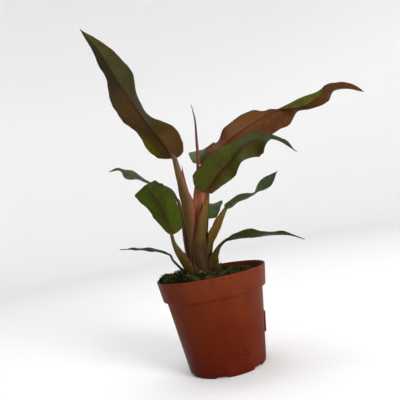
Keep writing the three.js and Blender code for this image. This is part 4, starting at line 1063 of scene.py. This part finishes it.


# Satin plastic with painted shade towards the foot, faint flow marks, a paler bloom, a painted sheen on the
# right side where the light falls, scattered specks of dirt, and more of them where soil has splashed.
def potMaterial():
    material, tree, shader = newMaterial("terracottaPlastic", 0.5, pot["gloss"])
    place = objectPlace(tree)
    flow = speckle(objectPlace(tree, (1, 1, 0.25)), pot["flowScale"], 4)
    bloom, grain = speckle(place, pot["bloomScale"]), speckle(place, pot["grainScale"], 2)
    sides = addNode("ShaderNodeSeparateXYZ", {"Vector": place}).outputs
    # Darker towards the foot: painted shade.
    colour = gradient(reckon("MULTIPLY", sides["Z"], 1 / (pot["height"] * mm)), pot["colours"])
    colour = layered(
        colour,
        # painted sheen on the right side, where the light falls
        (sides["X"], (pot["sheenFrom"], pot["sheenTo"], 0.0, 0.3), paint(*pot["rightSheen"])),
        (flow, (0.35, 0.75, 0.0, 0.35), paint(*pot["dark"])),
        (bloom, (0.5, 0.8, 0.0, 0.35), paint(*pot["worn"])),
    )
    cells = addNode("ShaderNodeTexVoronoi", {"Vector": place, "Scale": pot["speckScale"]})
    chosen = addNode("ShaderNodeSeparateColor", {"Color": cells.outputs["Color"]})
    near = 0.0
    for spot, share in pot["dirtPlaces"]:
        gap = addNode("ShaderNodeVectorMath", {0: place, 1: spot}, operation="DISTANCE")
        here = spread(gap.outputs["Value"], *pot["dirtReach"], share, 0.0)
        near = reckon("MAXIMUM", near, here)
    likely = reckon("ADD", near, pot["dirtElsewhere"])
    isSpeck = reckon("LESS_THAN", chosen.outputs["Red"], likely)
    isPale = reckon("GREATER_THAN", chosen.outputs["Green"], pot["palerThan"])
    specks = [
        (isSpeck, (0.2, 0.5, 0.85, 0.0), pot["dirtDark"]),
        (isPale, (0.06, 0.2, 0.7, 0.0), pot["palePeat"]),
    ]
    for here, ends, over in specks:
        shown = reckon("MULTIPLY", here, spread(cells.outputs["Distance"], *ends))
        colour = blend(shown, colour, over)
    tree.links.new(spread(bloom, 0.3, 0.7, 0.38, 0.52), shader.inputs["Roughness"])
    dress(shader, colour, reckon("MULTIPLY_ADD", flow, 0.6, grain), 0.12, 0.15)
    return material


makePiece("pot", [potShell(), labelPanelShell()], potMaterial(), ["pot"])
print("pot made")

moss = {
    "foot": 104.3, "seed": 7,
    "rings": 84, "points": 260, "innermost": 0.005, "edgeGap": 0.6, "nearWall": 66,
    "shootSpacing": 1.62, "rowPitch": 0.866, "shootReach": 70, "shootJitter": 0.4, "shootEdgeGap": 1.6,
    "bareBelow": -1.15, "bareFray": 0.5, "stemClearance": 11.5,
    "shootHeight": (1.6, 3.6), "shootTilt": 0.45, "shootSink": 0.5,
    "leafletsPerShoot": 7, "leafletTurn": 2.4, "leafletLength": (1.1, 1.9), "leafletWidth": 0.26,
    "lowestLeaflet": 0.25, "leafletLift": (0.35, 0.9), "liftFray": 0.2, "liftEnds": (0.1, 1.35),
    "keelAlong": 0.45, "keelDepth": 0.9,
    "strands": 260, "strandPlaces": (0.05, 62), "strandsWithin": 64, "strandThickness": (0.2, 0.42),
    "strandLength": (5, 16), "strandBend": 0.5, "strandSink": 0.6, "strandArch": (3.1, 1.2),
    "crumbs": 110, "crumbPlaces": (0.02, 64), "crumbSize": (0.6, 1.7), "crumbUneven": 0.3,
    "crumbFlattest": 0.5, "crumbRise": 0.8, "crumbRisePerSize": 0.4,
    "height": 117.5, "slope": (0.1, 0.02), "edgeFall": 5, "clumpRelief": 0.9, "tuftRelief": 0.35,
    "gritBrown": (0.05, 0.035, 0.015, 1),
    "colours": [(7, 8, 4), (13, 16, 7), (25, 31, 11), (54, 66, 24), (112, 126, 54)],
}


# Moss height: high on the left and lower on the right, falling towards the wall, with a few sizes of lump.
def mossHeight(x, y):
    r = np.hypot(x, y) / pot["rimRadius"]
    lumps = 1.3 * np.sin(x / 6.1 + 1.2) * np.cos(y / 5.3 + 0.4) + 0.8 * np.sin(x / 3.1 - y / 3.7)
    return moss["height"] - moss["slope"][0] * x - moss["slope"][1] * y - moss["edgeFall"] * r ** 6 + lumps


# The same with clumps and tufts.
def mossRelief(x, y):
    clumps = ripple(x, y, moss["seed"], [9, 11, 14, 17, 21])
    tufts = ripple(x, y, moss["seed"] + 1, [2.6, 3.3, 4.1, 5.2])
    return mossHeight(x, y) + moss["clumpRelief"] * clumps + moss["tuftRelief"] * tufts


# The moss bed: rings out from the middle to the pot's wall, down the wall, and back under.
def mossBedShell():
    angle = circle(moss["points"])
    near, least = moss["nearWall"], moss["innermost"]
    rim = innerWallRadius(mossHeight(near * np.cos(angle), near * np.sin(angle))) - moss["edgeGap"]
    top = polarPoints(np.linspace(least, 1, moss["rings"])[:, None] * rim, angle, 0)
    top[..., 2] = mossRelief(top[..., 0], top[..., 1])
    foot = innerWallRadius(moss["foot"]) - moss["edgeGap"]
    bottom = polarPoints(np.array([1.0, 0.6, least])[:, None] * foot, angle, moss["foot"])
    return skin(np.concatenate([top, bottom]) * mm, shade=0.1)


# Whether a place on the moss is clear of the stem and the stalks that come up through it.
def clearOfStems(x, y):
    clear = np.hypot(x - crown["place"][0], y - crown["place"][1]) > moss["stemClearance"]
    for leaf in leaves.values():
        foot = glide(leaf["stalk"]["rows"], np.array(0.05))
        clear &= np.hypot(x - foot[0], y - foot[1]) > leaf["stalk"]["rows"][0][3]
    return clear


# Moss shoots: every shoot is a few leaflets set round a short axis at golden-angle turns, the lower ones
# flatter, and every leaflet is a slim keeled blade with four faces.
def mossShootShell():
    draw = np.random.default_rng(moss["seed"])
    reach, gap = moss["shootReach"], moss["shootSpacing"]
    rowPlaces = np.arange(-reach, reach, gap * moss["rowPitch"])
    columnPlaces = np.arange(-reach, reach, gap)
    row, column = np.meshgrid(rowPlaces, columnPlaces, indexing="ij")
    x = (column + gap / 2 * (np.arange(row.shape[0]) % 2)[:, None]).ravel()
    y = row.ravel()
    x, y = (places + draw.uniform(-1, 1, x.size) * moss["shootJitter"] * gap for places in (x, y))
    wall = innerWallRadius(mossHeight(x, y)) - moss["shootEdgeGap"]
    kept = (np.hypot(x, y) < wall) & clearOfStems(x, y)
    x, y = x[kept], y[kept]
    clump = ripple(x, y, moss["seed"] + 2, [7, 10, 13, 19, 26])
    kept = clump + draw.uniform(-1, 1, x.size) * moss["bareFray"] > moss["bareBelow"]
    x, y, clump = x[kept], y[kept], clump[kept]
    count, each = len(x), moss["leafletsPerShoot"]
    low, high = moss["shootHeight"]
    tall = low + (high - low) * np.clip(0.45 + 0.25 * clump + draw.uniform(-0.3, 0.3, count), 0, 1)
    tilt = draw.uniform(-1, 1, (count, 2)) * moss["shootTilt"]
    axis = unit(np.stack([tilt[:, 0], tilt[:, 1], np.ones(count)], -1))
    foot = np.stack([x, y, mossRelief(x, y) - moss["shootSink"]], -1)
    k = np.arange(each)[None, :]
    turn = draw.uniform(0, 2 * np.pi, count)[:, None] + k * moss["leafletTurn"]
    up = moss["lowestLeaflet"] + (1 - moss["lowestLeaflet"]) * k / (each - 1)
    flattest, more = moss["leafletLift"]
    lift = flattest + more * k / (each - 1) + draw.uniform(-1, 1, (count, each)) * moss["liftFray"]
    lift = np.clip(lift, *moss["liftEnds"])
    out = np.stack([np.cos(turn) * np.cos(lift), np.sin(turn) * np.cos(lift), np.sin(lift)], -1)
    side = np.stack([-np.sin(turn), np.cos(turn), np.zeros(turn.shape)], -1)
    keel = np.cross(out, side)
    start = foot[:, None] + axis[:, None] * (tall[:, None] * up)[..., None]
    length = draw.uniform(*moss["leafletLength"], (count, each))[..., None]
    wide = moss["leafletWidth"]
    corners = np.stack([
        start - side * wide,
        start + side * wide,
        start + out * length,
        start + out * length * moss["keelAlong"] + keel * wide * moss["keelDepth"],
    ], axis=2)
    first = np.arange(count * each)[:, None, None] * 4
    faces = first + np.array([[0, 1, 2], [1, 0, 3], [2, 1, 3], [0, 2, 3]])[None]
    shade = np.clip(0.5 + 0.22 * clump + draw.normal(0, 0.18, count), 0, 1)
    fleck = np.clip(draw.normal(0, 0.1, (count, each)) + 0.25 * (up - 0.6), -0.3, 0.4)
    values = np.repeat((shade[:, None] + fleck).ravel(), 4)
    points, faces = corners.reshape(-1, 3) * mm, [faces.reshape(-1, 3)]
    return {"points": points, "faces": faces, "marks": {"shade": values}}


# A seeded place on the moss, from close to the axis out to a reach.
def anyPlace(draw, least, reach):
    radius, turn = reach * draw.uniform(least, 1) ** 0.5, draw.uniform(0, 2 * np.pi)
    return radius * np.cos(turn), radius * np.sin(turn)


# Dry strands: thin arcs that lie over the moss, each from one seeded place to another close by.
def strandShells():
    draw = np.random.default_rng(moss["seed"] + 5)
    shells = []
    while len(shells) < moss["strands"]:
        x, y = anyPlace(draw, *moss["strandPlaces"])
        heading, length = draw.uniform(0, 2 * np.pi), draw.uniform(*moss["strandLength"])
        bend = draw.uniform(-1, 1) * moss["strandBend"]
        s = np.array([0, 0.33, 0.66, 1.0])
        sideways = bend * s * (1 - s)
        px = x + length * (s * np.cos(heading) - sideways * np.sin(heading))
        py = y + length * (s * np.sin(heading) + sideways * np.cos(heading))
        if np.hypot(px, py).max() > moss["strandsWithin"]:
            continue
        arch = moss["strandArch"][0] + draw.uniform(0, moss["strandArch"][1])
        pz = mossRelief(px, py) - moss["strandSink"] + np.array([0, 1, 1, 0]) * arch
        radii = draw.uniform(*moss["strandThickness"]) * np.array([1, 1, 1, 0.5])
        shells.append(tubeShell(np.stack([px, py, pz], -1), radii, 9, 4, shade=draw.uniform(0, 1)))
    return shells


# Crumbs of bark and grit: small balls with a seeded uneven radius, half sunk in the moss.
def crumbShells():
    draw = np.random.default_rng(moss["seed"] + 9)
    polar = np.linspace(0.25, np.pi - 0.25, 6)[:, None]
    sphere = polarPoints(np.sin(polar), circle(8), np.cos(polar))
    shells = []
    while len(shells) < moss["crumbs"]:
        x, y = anyPlace(draw, *moss["crumbPlaces"])
        if not clearOfStems(x, y):
            continue
        size = draw.uniform(*moss["crumbSize"])
        uneven = 1 + moss["crumbUneven"] * draw.uniform(-1, 1, (6, 8))
        flat = draw.uniform(moss["crumbFlattest"], 1, 3)
        ball = sphere * uneven[..., None] * flat * size
        rise = moss["crumbRise"] + moss["crumbRisePerSize"] * size
        centre = np.array([x, y, mossRelief(x, y) + rise])
        shells.append(skin((centre + ball) * mm, shade=draw.uniform(0, 1)))
    return shells


# Moss: each shoot's own shade, stirred by soft clouds, with brown grit.
def mossMaterial():
    material, tree, shader = newMaterial("livingMoss", 0.75, 0.1)
    place = objectPlace(tree)
    cloud, grit = speckle(place, 70, 3), speckle(place, 600, 3)
    value = reckon("ADD", mark(tree, "shade"), spread(cloud, 0.3, 0.7, -0.22, 0.22))
    colour = gradient(value, moss["colours"])
    colour = layered(colour, (grit, (0.5, 0.75, 0.0, 0.3), moss["gritBrown"]))
    dress(shader, colour, grit, 0.6, 0.5)
    return material


# For the strands and the crumbs: each has its own shade, stirred by fine grit.
def debrisMaterial(name, colours):
    material, tree, shader = newMaterial(name, 0.8, 0.1)
    grit = speckle(objectPlace(tree), 500, 4)
    value = reckon("ADD", mark(tree, "shade"), spread(grit, 0.3, 0.7, -0.15, 0.15))
    dress(shader, gradient(value, colours), grit, 0.6, 0.3)
    return material


mossLook = mossMaterial()
makePiece("mossBed", [mossBedShell()], mossLook, ["moss"])
makePiece("mossShoots", [mossShootShell()], mossLook)
strandLook = debrisMaterial("dryStrand", [(48, 38, 22), (76, 66, 38), (108, 96, 62), (158, 144, 108)])
makePiece("mossStrands", strandShells(), strandLook)
crumbLook = debrisMaterial("barkCrumb", [(26, 18, 11), (44, 31, 19), (60, 44, 28), (120, 104, 82)])
makePiece("soilCrumbs", crumbShells(), crumbLook)
print("moss made")


# Potting mix, for the solid under the moss: peat brown, with fibres and grit.
def soilMaterial():
    material, tree, shader = newMaterial("dampSoil", 0.9, 0.1)
    place = objectPlace(tree)
    lump, grit = speckle(place, 180, 5), speckle(place, 900, 3)
    colour = gradient(lump, [(20, 14, 9), (40, 28, 18), (58, 42, 27)])
    colour = layered(colour, (grit, (0.66, 0.74, 0.0, 0.7), paint(120, 104, 80)))
    dress(shader, colour, lump, 0.8, 1.2)
    return material


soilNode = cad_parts["soil"]
soilNode.data.materials.clear()
soilNode.data.materials.append(soilMaterial())
print("soil dressed")

studio = {
    "floorRadius": 1.7, "sweepRadius": 0.9, "wallTop": 2.6,
    "floorColour": (0.9, 0.9, 0.905, 1),
    "worldColour": (1.0, 1.0, 1.0, 1), "worldStrength": 0.45,
    "aim": (0.02, 0.0, 0.22),
    "lamps": {
        "keyLamp": {"place": (1.25, -1.7, 0.75), "size": 0.9, "power": 50, "colour": (1.0, 0.985, 0.96)},
        "fillLamp": {"place": (-1.5, -1.2, 0.7), "size": 1.3, "power": 2, "colour": (0.96, 0.98, 1.0)},
        "topLamp": {"place": (-0.2, 0.5, 1.9), "size": 1.2, "power": 12, "colour": (1.0, 1.0, 1.0)},
    },
}


# The studio floor: a flat disc that sweeps up in a quarter circle to an upright wall all round.
def makeStudio():
    bend = np.linspace(0, np.pi / 2, 20)
    sweep = studio["floorRadius"] + studio["sweepRadius"] * np.sin(bend)
    radius = np.concatenate([[0.01, 0.3, 0.8, 1.3], sweep])
    height = np.concatenate([np.zeros(4), studio["sweepRadius"] * (1 - np.cos(bend))])
    radius, height = np.append(radius, radius[-1]), np.append(height, studio["wallTop"])
    rings = polarPoints(radius[:, None], circle(96), height[:, None])
    at = np.arange(rings[..., 0].size).reshape(rings.shape[:2])
    turned = np.roll(at, -1, axis=1)
    faces = np.stack([at[:-1], at[1:], turned[1:], turned[:-1]], -1).reshape(-1, 4)
    mesh = bpy.data.meshes.new("studioFloor")
    mesh.from_pydata(rings.reshape(-1, 3).tolist(), [], [at[0].tolist(), *faces.tolist()])
    mesh.polygons.foreach_set("use_smooth", np.ones(len(mesh.polygons), bool))
    material, _, shader = newMaterial("paleFloor", 0.9, 0.1)
    shader.inputs["Base Color"].default_value = studio["floorColour"]
    mesh.materials.append(material)
    addObject("studioFloor", mesh)
    world = bpy.data.worlds.new("studioWorld")
    world.use_nodes = True
    background = world.node_tree.nodes["Background"]
    background.inputs["Color"].default_value = studio["worldColour"]
    background.inputs["Strength"].default_value = studio["worldStrength"]
    bpy.context.scene.world = world
    for name, lamp in studio["lamps"].items():
        light = bpy.data.lights.new(name, "AREA")
        light.shape, light.size = "DISK", lamp["size"]
        light.energy, light.color = lamp["power"], lamp["colour"]
        holder = addObject(name, light)
        holder.location = lamp["place"]
        away = Vector(studio["aim"]) - Vector(lamp["place"])
        holder.rotation_euler = away.to_track_quat("-Z", "Y").to_euler()
        holder.visible_camera = False


view = {
    "place": (0.0, -0.5817, 0.1902),
    "pan": 0.368, "tilt": 2.194, "roll": -10.839,  # degrees: to the right, up, and round the line of sight
    "lens": 40.5,
}


# The camera that the photo was taken with, as a fit to the pot's outline gave it.
def makeCamera():
    pan, tilt, roll = (view[key] * degree for key in ("pan", "tilt", "roll"))
    forward = np.array([np.sin(pan) * np.cos(tilt), np.cos(pan) * np.cos(tilt), np.sin(tilt)])
    level = unit(np.cross(forward, [0, 0, 1]))
    upright = np.cross(level, forward)
    right = np.cos(roll) * level + np.sin(roll) * upright
    up = -np.sin(roll) * level + np.cos(roll) * upright
    camera = addObject("photographView", bpy.data.cameras.new("photographView"))
    camera.data.lens, camera.data.sensor_width = view["lens"], 36
    camera.data.clip_start, camera.data.clip_end = 0.01, 20
    turn = Matrix([[right[k], up[k], -forward[k]] for k in range(3)])
    camera.matrix_world = Matrix.Translation(view["place"]) @ turn.to_4x4()
    bpy.context.scene.camera = camera


makeStudio()
makeCamera()
bpy.context.scene.view_settings.view_transform = "Standard"
print("studio and camera ready")
